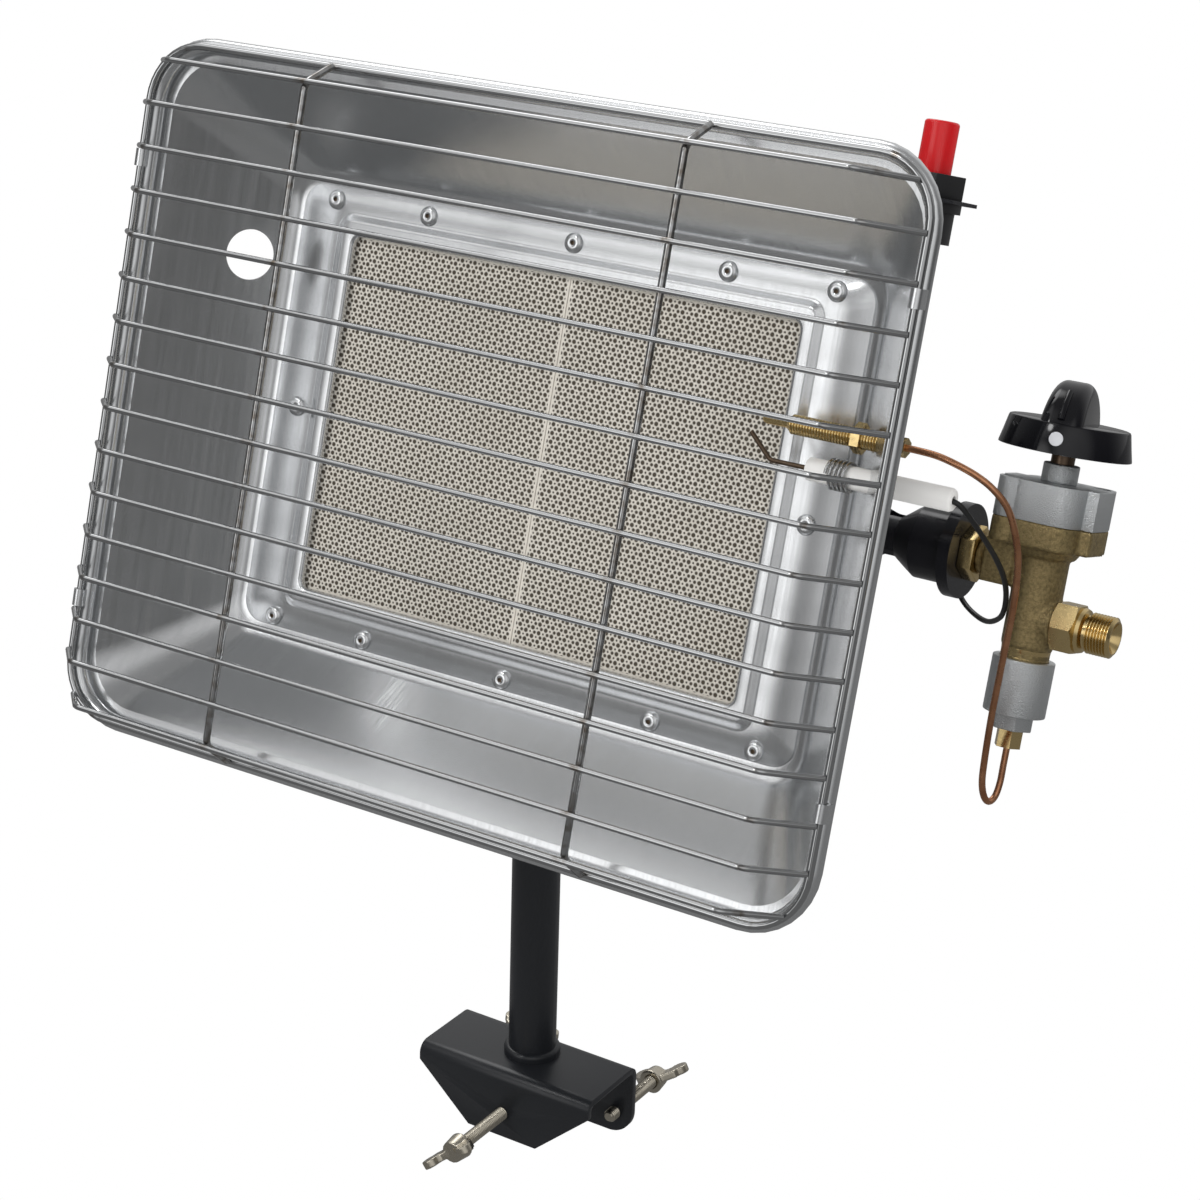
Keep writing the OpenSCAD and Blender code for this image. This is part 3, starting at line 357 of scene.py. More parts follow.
parts = node(pierced, "SeparateXYZ", place)
out_x = math_node(pierced, "ABSOLUTE", parts.outputs["X"])
up_z = math_node(pierced, "ABSOLUTE", parts.outputs["Z"])
across = math_node(pierced, "ABSOLUTE", math_node(pierced, "SUBTRACT", out_x, TILE_W / 2))
inside_x = math_node(pierced, "LESS_THAN", across, TILE_W / 2 - SIDE_MARGIN)
inside_z = math_node(pierced, "LESS_THAN", up_z, TILE_H / 2 - END_MARGIN)
inside = math_node(pierced, "MULTIPLY", inside_x, inside_z)
ramp = node(pierced, "MapRange", nearest, HOLE_EDGE, HOLE_DEEP).outputs[0]
in_hole = math_node(pierced, "MULTIPLY", ramp, inside)
# This output masks the painted shade in the holes. The height below presses them in.
pierced.links.new(in_hole, gout.inputs["Hole shade"])
pierced.links.new(math_node(pierced, "MULTIPLY", in_hole, -1), gout.inputs["Height"])
print("hole pitch", HOLE_PITCH, "mm")

# %% [markdown]
# In the finish, the pattern paints shade into the holes by darkening the ceramic's colour there,
# and presses its surface in.

# %% Ceramic with holes of three sizes
tile_ceramic = finish("tile_ceramic", (0.6, 0.56, 0.48), 0, 0.9)
bare = colour_varies(tile_ceramic, (0.71, 0.67, 0.60), (0.64, 0.60, 0.53), 0.05)
tree = tile_ceramic.node_tree
holes = use(tree, pierced)
# Painted shade: the holes' dark colour stands in for the shade inside deep holes.
drive(tile_ceramic, "Base Color", mixed(tree, holes.outputs["Hole shade"], bare, (0.07, 0.058, 0.042)))
bump = node(tree, "Bump", Strength=0.7, Distance=0.0008)
tree.links.new(holes.outputs["Height"], bump.inputs["Height"])
drive(tile_ceramic, "Normal", bump.outputs["Normal"])
print("hole radii", HOLE_RADII, "mm")

# %% [markdown]
# The guard is bright drawn wire, spot welded where wires cross. Each weld leaves a small brown
# burn, so the finish darkens near the uprights and, in a narrower band, where the bars bend.

# %% Bright wire with burnt welds
UPRIGHT_X, BEND_X, BEND_NARROWER = 72.5, 135, 1.6
BURN_OUTSIDE, BURN_INSIDE = 3.4, 1.0
WIRE_COLOUR, BURN_COLOUR = (0.42, 0.425, 0.43), (0.12, 0.085, 0.05)
bright_wire = finish("bright_wire", WIRE_COLOUR, 1, 0.09)
tree = bright_wire.node_tree
parts = node(tree, "SeparateXYZ", use(tree, head_place).outputs["Place"])
out_x = math_node(tree, "ABSOLUTE", parts.outputs["X"])
from_upright = math_node(tree, "ABSOLUTE", math_node(tree, "SUBTRACT", out_x, UPRIGHT_X))
from_bend = math_node(tree, "ABSOLUTE", math_node(tree, "SUBTRACT", out_x, BEND_X))
from_bend = math_node(tree, "MULTIPLY", from_bend, BEND_NARROWER)
from_mark = math_node(tree, "MINIMUM", from_upright, from_bend)
burn = node(tree, "MapRange", from_mark, BURN_OUTSIDE, BURN_INSIDE).outputs[0]
patchy = use(tree, uneven, Scale=0.25, Low=-0.3, High=0.8).outputs["Value"]
amount = node(tree, "Clamp", math_node(tree, "MULTIPLY", burn, patchy)).outputs[0]
drive(bright_wire, "Base Color", mixed(tree, amount, WIRE_COLOUR, BURN_COLOUR))
print("burns at", UPRIGHT_X, "and", BEND_X, "mm from the middle")

# %% [markdown]
# ## Paint the CAD pieces
# Exact solids whose shape is right keep their mesh and only get their finish.

# %% One finish for each material slot
SLOT_OF = {row["node"]: row["material_slot"] for row in frame["record"]["subparts"]}
for name, cad_node in frame["nodes"].items():
    cad_node.data.materials.clear()
    cad_node.data.materials.append(FINISHES[SLOT_OF[name]])
    smooth(cad_node, 35)
print(len(frame["nodes"]), "CAD nodes painted")

# %% [markdown]
# ## The wire guard
# Wire, tube and cable are one idea: a round section carried along a path. A curve with a bevel does
# that exactly, and its mesh is what is kept. Real wire bends in an arc, so the corners of its path
# are rounded.

# %% Helpers for wire
ARC_STEPS = 6


def rounded(points, radius):
    """The path with an arc of this radius at each inner corner."""
    points = [Vector(p) for p in points]
    path = [points[0]]
    for before, corner, after in zip(points, points[1:], points[2:]):
        u, v = (before - corner).normalized(), (after - corner).normalized()
        turn = math.pi - u.angle(v)
        along = radius * math.tan(turn / 2)
        middle = corner + (u + v).normalized() * (radius / math.cos(turn / 2))
        first, last = corner + u * along - middle, corner + v * along - middle
        for i in range(ARC_STEPS + 1):  # slerp gives a direction of length 1
            path.append(middle + radius * first.slerp(last, i / ARC_STEPS))
    return path + [points[-1]]


def wire(path, radius, closed=False, detail=3):
    """A round wire of this radius along the path."""
    deselect()
    curve = bpy.data.curves.new("wire", "CURVE")
    curve.dimensions = "3D"
    curve.bevel_depth = radius
    curve.bevel_resolution = detail
    curve.use_fill_caps = not closed
    spline = curve.splines.new("POLY")
    spline.points.add(len(path) - 1)
    for point, place in zip(spline.points, path):
        point.co = (*place, 1)
    spline.use_cyclic_u = closed
    obj = bpy.data.objects.new("wire", curve)
    bpy.context.collection.objects.link(obj)
    choose(obj)
    bpy.ops.object.convert(target="MESH")
    return bpy.context.object


def ring_path(width, height, radius, y, steps=8):
    """A rectangle with round corners, as a closed path that faces the front."""
    path = []
    for side_x, side_z, start in ((1, 1, 0), (-1, 1, 90), (-1, -1, 180), (1, -1, 270)):
        for i in range(steps + 1):
            a = math.radians(start + 90 * i / steps)
            x = side_x * (width / 2 - radius) + radius * math.cos(a)
            z = side_z * (height / 2 - radius) + radius * math.sin(a)
            path.append(Vector((x, y, z)))
    return path


# %% [markdown]
# A frame loop rests on the rolled rim. Sixteen bars stand off in front of it, their ends bent back
# to the loop, and two uprights tie them together behind. Each wire is bent as one smooth piece.

# %% Wire guard
RIM_BEAD = 5.5
LOOP_W, LOOP_H, LOOP_R, LOOP_WIRE = 299, 238, 20, 1.3
BAR_WIRE, BAR_PITCH, BARS, BAR_RUN, STAND_OFF = 1.0, 15, 16, 14.5, 15
UPRIGHT_WIRE, UPRIGHT_RUN = 1.25, 7
WELD, WIRE_BEND = 0.3, 5  # how far welded wires sink into each other, and the radius of their bends
loop_y = -RIM_BEAD / 2 - LOOP_WIRE
bar_end_y = loop_y - LOOP_WIRE - BAR_WIRE + WELD
bar_y = bar_end_y - STAND_OFF
upright_y = bar_y + BAR_WIRE + UPRIGHT_WIRE - WELD


def loop_edge(z):
    """Half the loop's width at this height."""
    over = max(abs(z) - (LOOP_H / 2 - LOOP_R), 0)
    return LOOP_W / 2 - LOOP_R + math.sqrt(max(LOOP_R**2 - over**2, 1))


wires = [wire(ring_path(LOOP_W, LOOP_H, LOOP_R, loop_y, 10), LOOP_WIRE, closed=True)]
for i in range(BARS):
    z = (i - (BARS - 1) / 2) * BAR_PITCH
    edge = loop_edge(z)
    corners = [
        (-edge, bar_end_y, z), (-edge + BAR_RUN, bar_y, z),
        (edge - BAR_RUN, bar_y, z), (edge, bar_end_y, z),
    ]
    wires.append(wire(rounded(corners, WIRE_BEND), BAR_WIRE))
for side in (-1, 1):
    x, bend = side * UPRIGHT_X, LOOP_H / 2 - UPRIGHT_RUN
    corners = [
        (x, bar_end_y, -LOOP_H / 2), (x, upright_y, -bend),
        (x, upright_y, bend), (x, bar_end_y, LOOP_H / 2),
    ]
    wires.append(wire(rounded(corners, WIRE_BEND), UPRIGHT_WIRE))
guard = smooth(settle(join(wires)), 60)
keep(guard, "wire_guard_bent", "head", bright_wire, "bright_wire", "wire_guard")

# %% [markdown]
# ## Copper lead and ignition cable
# The thermocouple's lead is soft copper bent by hand, and the ignition cable is a thin black wire.
# Both follow the points that the CAD part gives, on a finer and rounder curve.

# %% Copper lead
PATH_STEPS, LEAD_WIRE = 8, 1.1
LEAD_POINTS = [
    (142.66, 21, 32.8), (148.05, 21, 32.8), (154.44, 21.3, 32.4), (160.83, 22, 31),
    (167.22, 23.5, 28.8), (172.61, 25, 25.8), (177, 28, 21), (179.7, 31, 14), (181, 35, 5),
    (180.4, 40, -9), (178, 46, -28), (176, 51, -46), (174.8, 55.5, -62), (174.9, 57, -69),
    (175.6, 59.2, -73.4), (176.4, 62, -75), (177, 64.8, -73.4), (177.3, 66, -69), (177.3, 66, -63),
    (177.3, 66, -57),
]


def smooth_path(points):
    """A smooth curve through all the points, as Catmull and Rom draw it."""
    points = [Vector(p) for p in points]
    last = len(points) - 1
    path = []
    for i in range(last):
        a, b, c, d = points[max(i - 1, 0)], points[i], points[i + 1], points[min(i + 2, last)]
        for k in range(PATH_STEPS):
            s = k / PATH_STEPS
            bend, turn = 2 * a - 5 * b + 4 * c - d, 3 * b - a - 3 * c + d
            path.append(0.5 * (2 * b + (c - a) * s + bend * s**2 + turn * s**3))
    return path + [points[-1]]


lead = smooth(settle(wire(smooth_path(LEAD_POINTS), LEAD_WIRE, detail=4)), 60)
keep(lead, "copper_lead_bent", "head", copper, "copper", "copper_lead")

# %% [markdown]
# The cable leaves the electrode, hangs below the mixer's lock nut and runs up behind the dish to
# the igniter. It is made in the same way as the lead.

# %% Ignition cable
CABLE_WIRE = 0.9
CABLE_POINTS = [
    (161, 21, 20.3), (164.5, 22, 19), (167.5, 26, 15), (169.8, 33, 9.5), (171, 41, 4.1),
    (172, 48, -1.7), (171.5, 54.5, -7.4), (170.2, 59.2, -13.1), (166.9, 65, -17.4),
    (160.4, 72.5, -20.4), (153.7, 78, -20.1), (146.6, 82.5, -17.2), (139, 85.5, -10),
    (131, 86, -4), (122, 85.5, -1), (113, 84, 4), (105, 82, 13), (102, 80, 30), (102, 75, 55),
    (107, 66, 74), (115.5, 58.5, 85), (119.7, 57, 91), (119.8, 57, 98),
]
cable = smooth(settle(wire(smooth_path(CABLE_POINTS), CABLE_WIRE)), 60)
keep(cable, "ignition_cable_round", "head", black_sleeve, "black_sleeve", "ignition_cable")

# %% [markdown]
# ## The dish
# The reflector is one sheet of aluminium: flat walls lean in from a rolled rim to the floor, with
# soft bends between them. A box with bevels could give the walls but not the roll, so the sheet is
# drawn as rings with the same number of points, laid on a grid.

# %% Helpers for pressed sheet
def ring_sheet(rings):
    """A surface through closed rings with the same number of points, from a grid primitive."""
    rows, across = len(rings), len(rings[0]) + 1
    deselect()
    bpy.ops.mesh.primitive_grid_add(x_subdivisions=across - 1, y_subdivisions=rows - 1, size=1)
    obj = bpy.context.object
    for i, vertex in enumerate(obj.data.vertices):
        row, column = divmod(i, across)
        vertex.co = rings[row][column % (across - 1)]
    bpy.ops.object.mode_set(mode="EDIT")
    bpy.ops.mesh.select_all(action="SELECT")
    bpy.ops.mesh.remove_doubles(threshold=0.0005)
    bpy.ops.mesh.normals_make_consistent(inside=False)
    bpy.ops.object.mode_set(mode="OBJECT")
    return obj


def drill(obj, x, reach, y, z, radius, turn=0.0):
    """Cuts a round hole along x, as deep as this reach to both sides."""
    deselect()
    x0, x1 = x - reach, x + reach
    bpy.ops.mesh.primitive_cylinder_add(
        vertices=40, radius=radius, depth=x1 - x0, location=((x0 + x1) / 2, y, z)
    )
    bar = bpy.context.object
    bar.rotation_euler = (0, math.pi / 2, turn)
    apply_modifier(obj, "BOOLEAN", operation="DIFFERENCE", object=bar, solver="EXACT")
    bpy.data.objects.remove(bar)


# %% [markdown]
# The rings go from the back of the roll round the front, down the wall, round the bend and over the
# floor to the throat, where the burner sits. The left wall has a lighting hole, the right wall two
# holes for the thermocouple and the electrode.

# %% Reflector
RIM_W, RIM_H, RIM_R, DISH_D, SHEET = 304, 245, 25, 46, 0.9
FLOOR_W, FLOOR_H, FLOOR_R, BEND, BEND_STEPS = 235, 167, 12, 7, 6
THROAT_W, THROAT_H, THROAT_R = 186, 134, 3
WALL_ROWS = (3, 14, 26)  # depths of the rings that the flat walls get
ROLL_R = RIM_BEAD / 2
ROLL_END, ROLL_STEP = 250, 25  # degrees
rim_in_w, rim_in_h, rim_in_r = RIM_W - 2 * RIM_BEAD, RIM_H - 2 * RIM_BEAD, RIM_R - RIM_BEAD
lean_x, lean_z = (rim_in_w - FLOOR_W) / 2, (rim_in_h - FLOOR_H) / 2
wall_slope = lean_x / DISH_D


def dish_ring(inset, y):
    """A ring of the dish. The inset is 0 at the rim and 1 at the floor's edge."""
    radius = rim_in_r + (FLOOR_R - rim_in_r) * min(inset, 1)
    return ring_path(rim_in_w - 2 * lean_x * inset, rim_in_h - 2 * lean_z * inset, radius, y)


rings = []
for angle in range(0, ROLL_END + 1, ROLL_STEP):  # from the roll's back edge to its inner edge
    a = math.radians(angle)
    out = ROLL_R * (1 + math.cos(a))
    roll_y = -ROLL_R * math.sin(a)
    rings.append(ring_path(rim_in_w + 2 * out, rim_in_h + 2 * out, rim_in_r + out, roll_y))
lean = math.atan(wall_slope)
reach = BEND * math.tan((math.pi / 2 - lean) / 2)
for y in (*WALL_ROWS, DISH_D - reach * math.cos(lean)):
    rings.append(dish_ring(y / DISH_D, y))
for step in range(1, BEND_STEPS + 1):
    a = lean + (math.pi / 2 - lean) * step / BEND_STEPS
    inset = 1 + (reach - BEND * math.cos(a)) / lean_x
    rings.append(dish_ring(inset, DISH_D - BEND + BEND * math.sin(a)))
rings.append(ring_path(THROAT_W, THROAT_H, THROAT_R, DISH_D))
dish = ring_sheet(rings)
apply_modifier(dish, "SOLIDIFY", thickness=SHEET, offset=-1)


def wall_x(y):
    """How far from the middle the side walls stand at this depth."""
    return rim_in_w / 2 - wall_slope * y


PROBE_Y, PROBE_Z, PROBE_HOLE_R = 21, 32.8, 3.7
SPARK_Z, SPARK_HOLE_R = 20.3, 4.2
LIGHT_Y, LIGHT_Z, LIGHT_HOLE_R = 33.3, 50.6, 9
PROBE_REACH, LIGHT_REACH = 8, 12  # enough to go through the leaning wall
drill(dish, -wall_x(LIGHT_Y), LIGHT_REACH, LIGHT_Y, LIGHT_Z, LIGHT_HOLE_R, -lean)
drill(dish, wall_x(PROBE_Y), PROBE_REACH, PROBE_Y, PROBE_Z, PROBE_HOLE_R)
drill(dish, wall_x(PROBE_Y), PROBE_REACH, PROBE_Y, SPARK_Z, SPARK_HOLE_R)
keep(smooth(settle(dish), 32), "reflector_pressed", "head", aluminium, "aluminium", "reflector")

# %% [markdown]
# The bezel holds the tiles. It is pressed in two levels: a flat flange that is riveted to the dish,
# and a raised frame round the window, whose inner edge turns back towards the tiles.

# %% Bezel
BEZEL_W, BEZEL_H, BEZEL_R, BEZEL_Y = FLOOR_W - 7, FLOOR_H - 7, 8, 45.2
EDGE_T, EDGE_ROUND = 0.75, 0.25  # the flange's own edge
WINDOW_W, WINDOW_H, WINDOW_R = 179, 127, 3
RISE, FRAME_R, FRAME_SHARE = 1.6, 5, 0.84  # the raised frame's height, corner and share of the band
STEP_OUT, STEP_IN, STEP_ROWS = 1.4, 2.6, 8
TURN_R, TURN_ROWS, TURN_DEPTH = 1.6, 5, 1.7  # the window's turned-back edge
BAND, SIDE_BAND = (BEZEL_H - WINDOW_H) / 2, (BEZEL_W - WINDOW_W) / 2
raised_w, raised_h = WINDOW_W + BAND * FRAME_SHARE, WINDOW_H + BAND * FRAME_SHARE
flat_w, flat_h = BEZEL_W - 2 * EDGE_ROUND, BEZEL_H - 2 * EDGE_ROUND
rings = [
    ring_path(BEZEL_W, BEZEL_H, BEZEL_R, BEZEL_Y + EDGE_T),
    ring_path(BEZEL_W, BEZEL_H, BEZEL_R, BEZEL_Y + EDGE_ROUND),
    ring_path(flat_w, flat_h, BEZEL_R - EDGE_ROUND, BEZEL_Y),
]
for row in range(STEP_ROWS + 1):  # the soft step up, from outside the frame's edge to inside it
    share = row / STEP_ROWS
    off = STEP_OUT - (STEP_OUT + STEP_IN) * share
    up = RISE * (1 - math.cos(math.pi * share)) / 2
    rings.append(ring_path(raised_w + 2 * off, raised_h + 2 * off, FRAME_R + off, BEZEL_Y - up))
for row in range(TURN_ROWS + 1):
    a = math.radians(90 / TURN_ROWS * row)
    off = TURN_R * (1 - math.sin(a))
    back = BEZEL_Y - RISE + TURN_R * (1 - math.cos(a))
    rings.append(ring_path(WINDOW_W + 2 * off, WINDOW_H + 2 * off, WINDOW_R + off, back))
rings.append(ring_path(WINDOW_W, WINDOW_H, WINDOW_R, BEZEL_Y + TURN_DEPTH))
bezel = settle(ring_sheet(rings))
keep(smooth(bezel, 50), "bezel_pressed", "head", aluminium, "aluminium", "burner_bezel")

# %% [markdown]
# Rivets, nuts, knobs and threads are round, as if turned on a lathe: half a profile, spun round an
# axis. That is quicker to draw and to change than a stack of cylinders.

# %% Helper for turned pieces
def turned(profile, steps=48):
    """Spins a profile of (radius, height) about z."""
    deselect()
    bpy.ops.mesh.primitive_plane_add(size=1, location=(0, 0, 0))
    obj = bpy.context.object
    bpy.ops.object.mode_set(mode="EDIT")
    bpy.ops.mesh.merge(type="CENTER")
    bpy.ops.transform.translate(value=(profile[0][0], 0, profile[0][1]))
    for (r0, z0), (r1, z1) in zip(profile, profile[1:]):
        bpy.ops.mesh.extrude_region_move(TRANSFORM_OT_translate={"value": (r1 - r0, 0, z1 - z0)})
    bpy.ops.mesh.select_all(action="SELECT")
    bpy.ops.mesh.spin(steps=steps, angle=2 * math.pi, center=(0, 0, 0), axis=(0, 0, 1))
    bpy.ops.mesh.select_all(action="SELECT")
    bpy.ops.mesh.remove_doubles(threshold=0.0005)
    bpy.ops.mesh.normals_make_consistent(inside=False)
    bpy.ops.object.mode_set(mode="OBJECT")
    return obj


# %% [markdown]
# A pop rivet has a low domed head with the hole that the pulled stem leaves. What is left of the
# stem is dark, so it is a piece of its own. Their places are shares of the band round the window.

# %% Rivets
TOP_SHARE, LOW_SHARE, SIDE_SHARE, HOLE_SHARE = 0.7, 0.78, 0.584, 0.242
RIVET_R = BAND * HOLE_SHARE / 2
RIVET_XS = [BEZEL_W / 2 * k for k in (-0.877, -0.526, 0, 0.526, 0.877)]
rivet_top, rivet_low = WINDOW_H / 2 + BAND * TOP_SHARE, WINDOW_H / 2 + BAND * LOW_SHARE
rivet_side = WINDOW_W / 2 + SIDE_BAND * SIDE_SHARE
spots = [(x, rivet_top) for x in RIVET_XS] + [(x, -rivet_low) for x in RIVET_XS]
spots += [(-rivet_side, 0), (rivet_side, 0)]


def at_rivets(one):
    """A copy of the piece at each rivet's place, as one object."""
    copies = []
    for x, z in spots:
        choose(one)
        bpy.ops.object.duplicate()
        copy = bpy.context.object
        facing = Matrix.Rotation(-math.pi / 2, 4, "X")
        copy.matrix_world = Matrix.Translation((x, BEZEL_Y, z)) @ facing
        copies.append(copy)
    bpy.data.objects.remove(one)
    return settle(join(copies))


shank = [(0, 3), (RIVET_R, 3), (RIVET_R, 0.1)]
dome = [(3.5, 0), (3.5, -0.3), (3.3, -0.85), (2.7, -1.3), (1.9, -1.5), (1.15, -1.5)]
hole = [(0.82, -1.35), (0.8, -0.9), (0.8, -0.2), (0, -0.2)]
rivets = smooth(at_rivets(turned(shank + dome + hole, 24)), 45)
keep(rivets, "rivets_domed", "head", aluminium, "aluminium", "bezel_rivets")
stub = turned([(0, -0.1), (0.78, -0.1), (0.78, -0.7), (0.5, -0.85), (0, -0.9)], 16)
keep(smooth(at_rivets(stub)), "rivet_stems", "head", dark_steel, "aluminium")

# %% [markdown]
# ## The control knob
# A black moulding with a shallow skirt and a tall grip across it. The skirt is turned. The grip is
# a disc on edge, cut off below, bevelled and then pressed narrower towards its domed top. A rib
# marks its front.

# %% Knob
VALVE_X, GAS_Y, KNOB_Z, POINTER = 177.3, 66, 38.3, math.radians(11)
GRIP_R, GRIP_T, GRIP_MIDDLE, GRIP_FOOT, GRIP_TALL = 19.6, 13.4, 2.7, 6, 16.4
GRIP_BEVEL, FOOT_WIDE, TOP_NARROWER = 3.6, 1.03, 0.17
RIB_WIRE, RIB_FROM, RIB_STEP, RIB_STEPS = 1.15, 24, 4, 8  # its angles are in degrees
SKIRT_AT_FOOT, SKIRT_SLOPE = 19.75, 0.2  # the skirt's outside, which the grip's ends follow


def on_head(x, y, z, turn):
    """Carries a piece that is drawn about its own axis to this point of the head."""
    return HEAD @ Matrix.Translation((x, y, z)) @ turn


skirt = turned(
    [(3.9, 4), (3.9, 0.2), (6, 0.2), (6.4, 3), (17.8, 3), (18.4, 0.3), (20.6, 0), (21, 0.15),
     (21, 0.5), (20.2, 4), (19.2, 8.8), (18.9, 9.3), (18.3, 9.5), (10, 9.7), (0, 9.7)], 72)
deselect()
bpy.ops.mesh.primitive_cylinder_add(
    vertices=72, radius=GRIP_R, depth=GRIP_T, location=(0, 0, GRIP_MIDDLE),
    rotation=(0, math.pi / 2, 0),
)
grip = bpy.context.object
bpy.ops.object.transform_apply(location=True, rotation=True, scale=True)
apply_modifier(
    grip, "BEVEL", width=GRIP_BEVEL, segments=8, limit_method="ANGLE",
    angle_limit=math.radians(50),
)
bpy.ops.object.mode_set(mode="EDIT")
bpy.ops.mesh.select_all(action="SELECT")
bpy.ops.mesh.bisect(
    plane_co=(0, 0, GRIP_FOOT), plane_no=(0, 0, 1), use_fill=True, clear_inner=True
)
bpy.ops.object.mode_set(mode="OBJECT")
for vertex in grip.data.vertices:
    above = vertex.co.z - GRIP_FOOT
    vertex.co.x *= FOOT_WIDE - TOP_NARROWER * (max(above, 0) / GRIP_TALL) ** 1.5
    beyond = math.hypot(vertex.co.x, vertex.co.y) / (SKIRT_AT_FOOT - SKIRT_SLOPE * above)
    if beyond > 1:
        vertex.co.x /= beyond
        vertex.co.y /= beyond
arc = [
    (0, -GRIP_R * math.cos(a), GRIP_MIDDLE + GRIP_R * math.sin(a))
    for a in [math.radians(RIB_FROM + RIB_STEP * i) for i in range(RIB_STEPS + 1)]
]
rib = wire(arc, RIB_WIRE, detail=4)
KNOB_PLACE = on_head(VALVE_X, GAS_Y, KNOB_Z, Matrix.Rotation(POINTER, 4, "Z"))
knob = settle(join([skirt, grip, rib]), KNOB_PLACE)
keep(smooth(knob, 40), "knob_moulded", "knob", black_gloss, "black_gloss", "control_knob")

# %% [markdown]
# A white spot of paint below the rib is the pointer. It leans back as the skirt does.

# %% The knob's spot
SPOT_R, SPOT_T, SPOT_Y, SPOT_Z, SPOT_LEAN = 2.2, 0.8, -20.05, 4.7, 0.21
deselect()
bpy.ops.mesh.primitive_cylinder_add(
    vertices=40, radius=SPOT_R, depth=SPOT_T, location=(0, SPOT_Y, SPOT_Z),
    rotation=(math.pi / 2 - SPOT_LEAN, 0, 0),
)
dot = bpy.context.object
apply_modifier(dot, "BEVEL", width=0.2, segments=2)
keep(smooth(settle(dot, KNOB_PLACE)), "knob_spot", "knob", white_paint, "black_gloss")


# %% [markdown]
# ## Cast and die-cast pieces
# A casting has no sharp edge. Its exact solid is remeshed finely and smoothed, so that every edge
# and every inner corner gets the soft radius that comes out of a mould. A bevel would round the
# outer edges only.

# %% Castings
def cad_copy(node_name):
    """A merged copy of a CAD node's mesh, to be softened."""
    obj = frame["nodes"][node_name].copy()
    obj.data = frame["nodes"][node_name].data.copy()
    place = frame["nodes"][node_name].matrix_world.copy()
    bpy.context.collection.objects.link(obj)
    obj.parent = None
    obj.matrix_world = place
    choose(obj)
    bpy.ops.object.transform_apply(location=True, rotation=True, scale=True)
    bpy.ops.object.mode_set(mode="EDIT")
    bpy.ops.mesh.select_all(action="SELECT")
    bpy.ops.mesh.remove_doubles(threshold=0.00001)
    bpy.ops.object.mode_set(mode="OBJECT")
    return obj


def soften(node_name, body, voxel):
    """Remeshes a copy of the solid in cells of this many millimetres and smooths it."""
    obj = cad_copy(node_name)
    apply_modifier(obj, "REMESH", mode="VOXEL", voxel_size=voxel / 1000, use_smooth_shade=True)
    apply_modifier(obj, "SMOOTH", factor=0.5, iterations=3)
    slot = SLOT_OF[node_name]
    keep(obj, node_name + "_cast", body, FINISHES[slot], slot, node_name)


soften("valve_body", "head", 0.6)
for side in ("front", "left", "right"):
    soften(side + "_wing", side + "_wing", 0.35)
soften("tilt_wing_nut", "tilt_nut", 0.4)

# %% [markdown]
# Machined and moulded pieces have a small turned-off edge that catches the light. The flat faces
# are merged first, because the bevel can't be wider than the narrowest triangle beside an edge.

# %% Edges broken with a small bevel
FLAT, SHARP = math.radians(1.5), math.radians(35)


def break_edges(node_name, body, width, segments):
    obj = cad_copy(node_name)
    apply_modifier(obj, "DECIMATE", decimate_type="DISSOLVE", angle_limit=FLAT)
    apply_modifier(
        obj, "BEVEL", width=width / 1000, segments=segments, limit_method="ANGLE",
        angle_limit=SHARP,
    )
    smooth(obj, 35)
    slot = SLOT_OF[node_name]
    keep(obj, node_name + "_edged", body, FINISHES[slot], slot, node_name)


for node_name, body, width, segments in (
    ("valve_bonnet", "head", 0.5, 2), ("stem_collar", "head", 0.4, 2),
    ("magnet_unit", "head", 0.4, 2), ("igniter_nut", "head", 0.7, 2),
    ("mixer_locknut", "head", 0.3, 2), ("clamp_bracket", "support", 0.4, 2),
    ("igniter_button", "button", 0.5, 3),
):
    break_edges(node_name, body, width, segments)


# %% [markdown]
# ## Threads
# A thread is a helix, but at this size rings one pitch apart look the same and close cleanly. The
# gas inlet is a coarse pipe thread with a countersunk bore, screwed in by its hexagon.

# %% Helpers for threads
def thread(radius, start, end, pitch, depth):
    """The profile of a thread, as rings one pitch apart."""
    count = int((end - start) / pitch)
    points = []
    for i in range(count):
        z = start + i * pitch
        points += [
            (radius - depth, z), (radius, z + 0.4 * pitch), (radius, z + 0.6 * pitch),
            (radius - depth, z + pitch),
        ]
    return points


def hexagon(flats, low, high, chamfer):
    """A hexagon bar along z with its corners turned off at both ends."""
    deselect()
    bpy.ops.mesh.primitive_cylinder_add(
        vertices=6, radius=flats / 2 / math.cos(math.pi / 6), depth=high - low,
        location=(0, 0, (low + high) / 2),
    )
    bar = bpy.context.object
    r = flats / 2
    cone = turned(
        [(0, low - 0.01), (r, low), (r + chamfer * 2, low + chamfer),
         (r + chamfer * 2, high - chamfer), (r, high), (0, high + 0.01)], 32)
    apply_modifier(bar, "BOOLEAN", operation="INTERSECT", object=cone, solver="EXACT")
    bpy.data.objects.remove(cone)
    return bar


ALONG_X = Matrix.Rotation(math.pi / 2, 4, "Y")

# %% Gas inlet
INLET_X, INLET_Z, INLET_R, INLET_PITCH, INLET_DEPTH = 186, -15.3, 6.5785, 1.0, 0.65
NUT_FLATS, NUT_T, NUT_CHAMFER = 15, 7.6, 0.9
nut = hexagon(NUT_FLATS, 0, NUT_T, NUT_CHAMFER)
spigot = turned(
    [(3, 2), (3, 7.7), (7, 7.5), (7.3, 8.3), (6.9, 9.4), (5.4, 10), (5.3, 11),
     *thread(INLET_R, 11, 19.1, INLET_PITCH, INLET_DEPTH),
     (5.5, 19.4), (5, 19.4), (3.1, 16.5), (3, 15.9), (3, 2)])
inlet = smooth(settle(join([nut, spigot]), on_head(INLET_X, GAS_Y, INLET_Z, ALONG_X)), 35)
keep(inlet, "inlet_threaded", "head", machined_brass, "machined_brass", "inlet_connector")

# %% [markdown]
# Below the valve, a threaded neck shows above the zinc cup of the magnet unit.

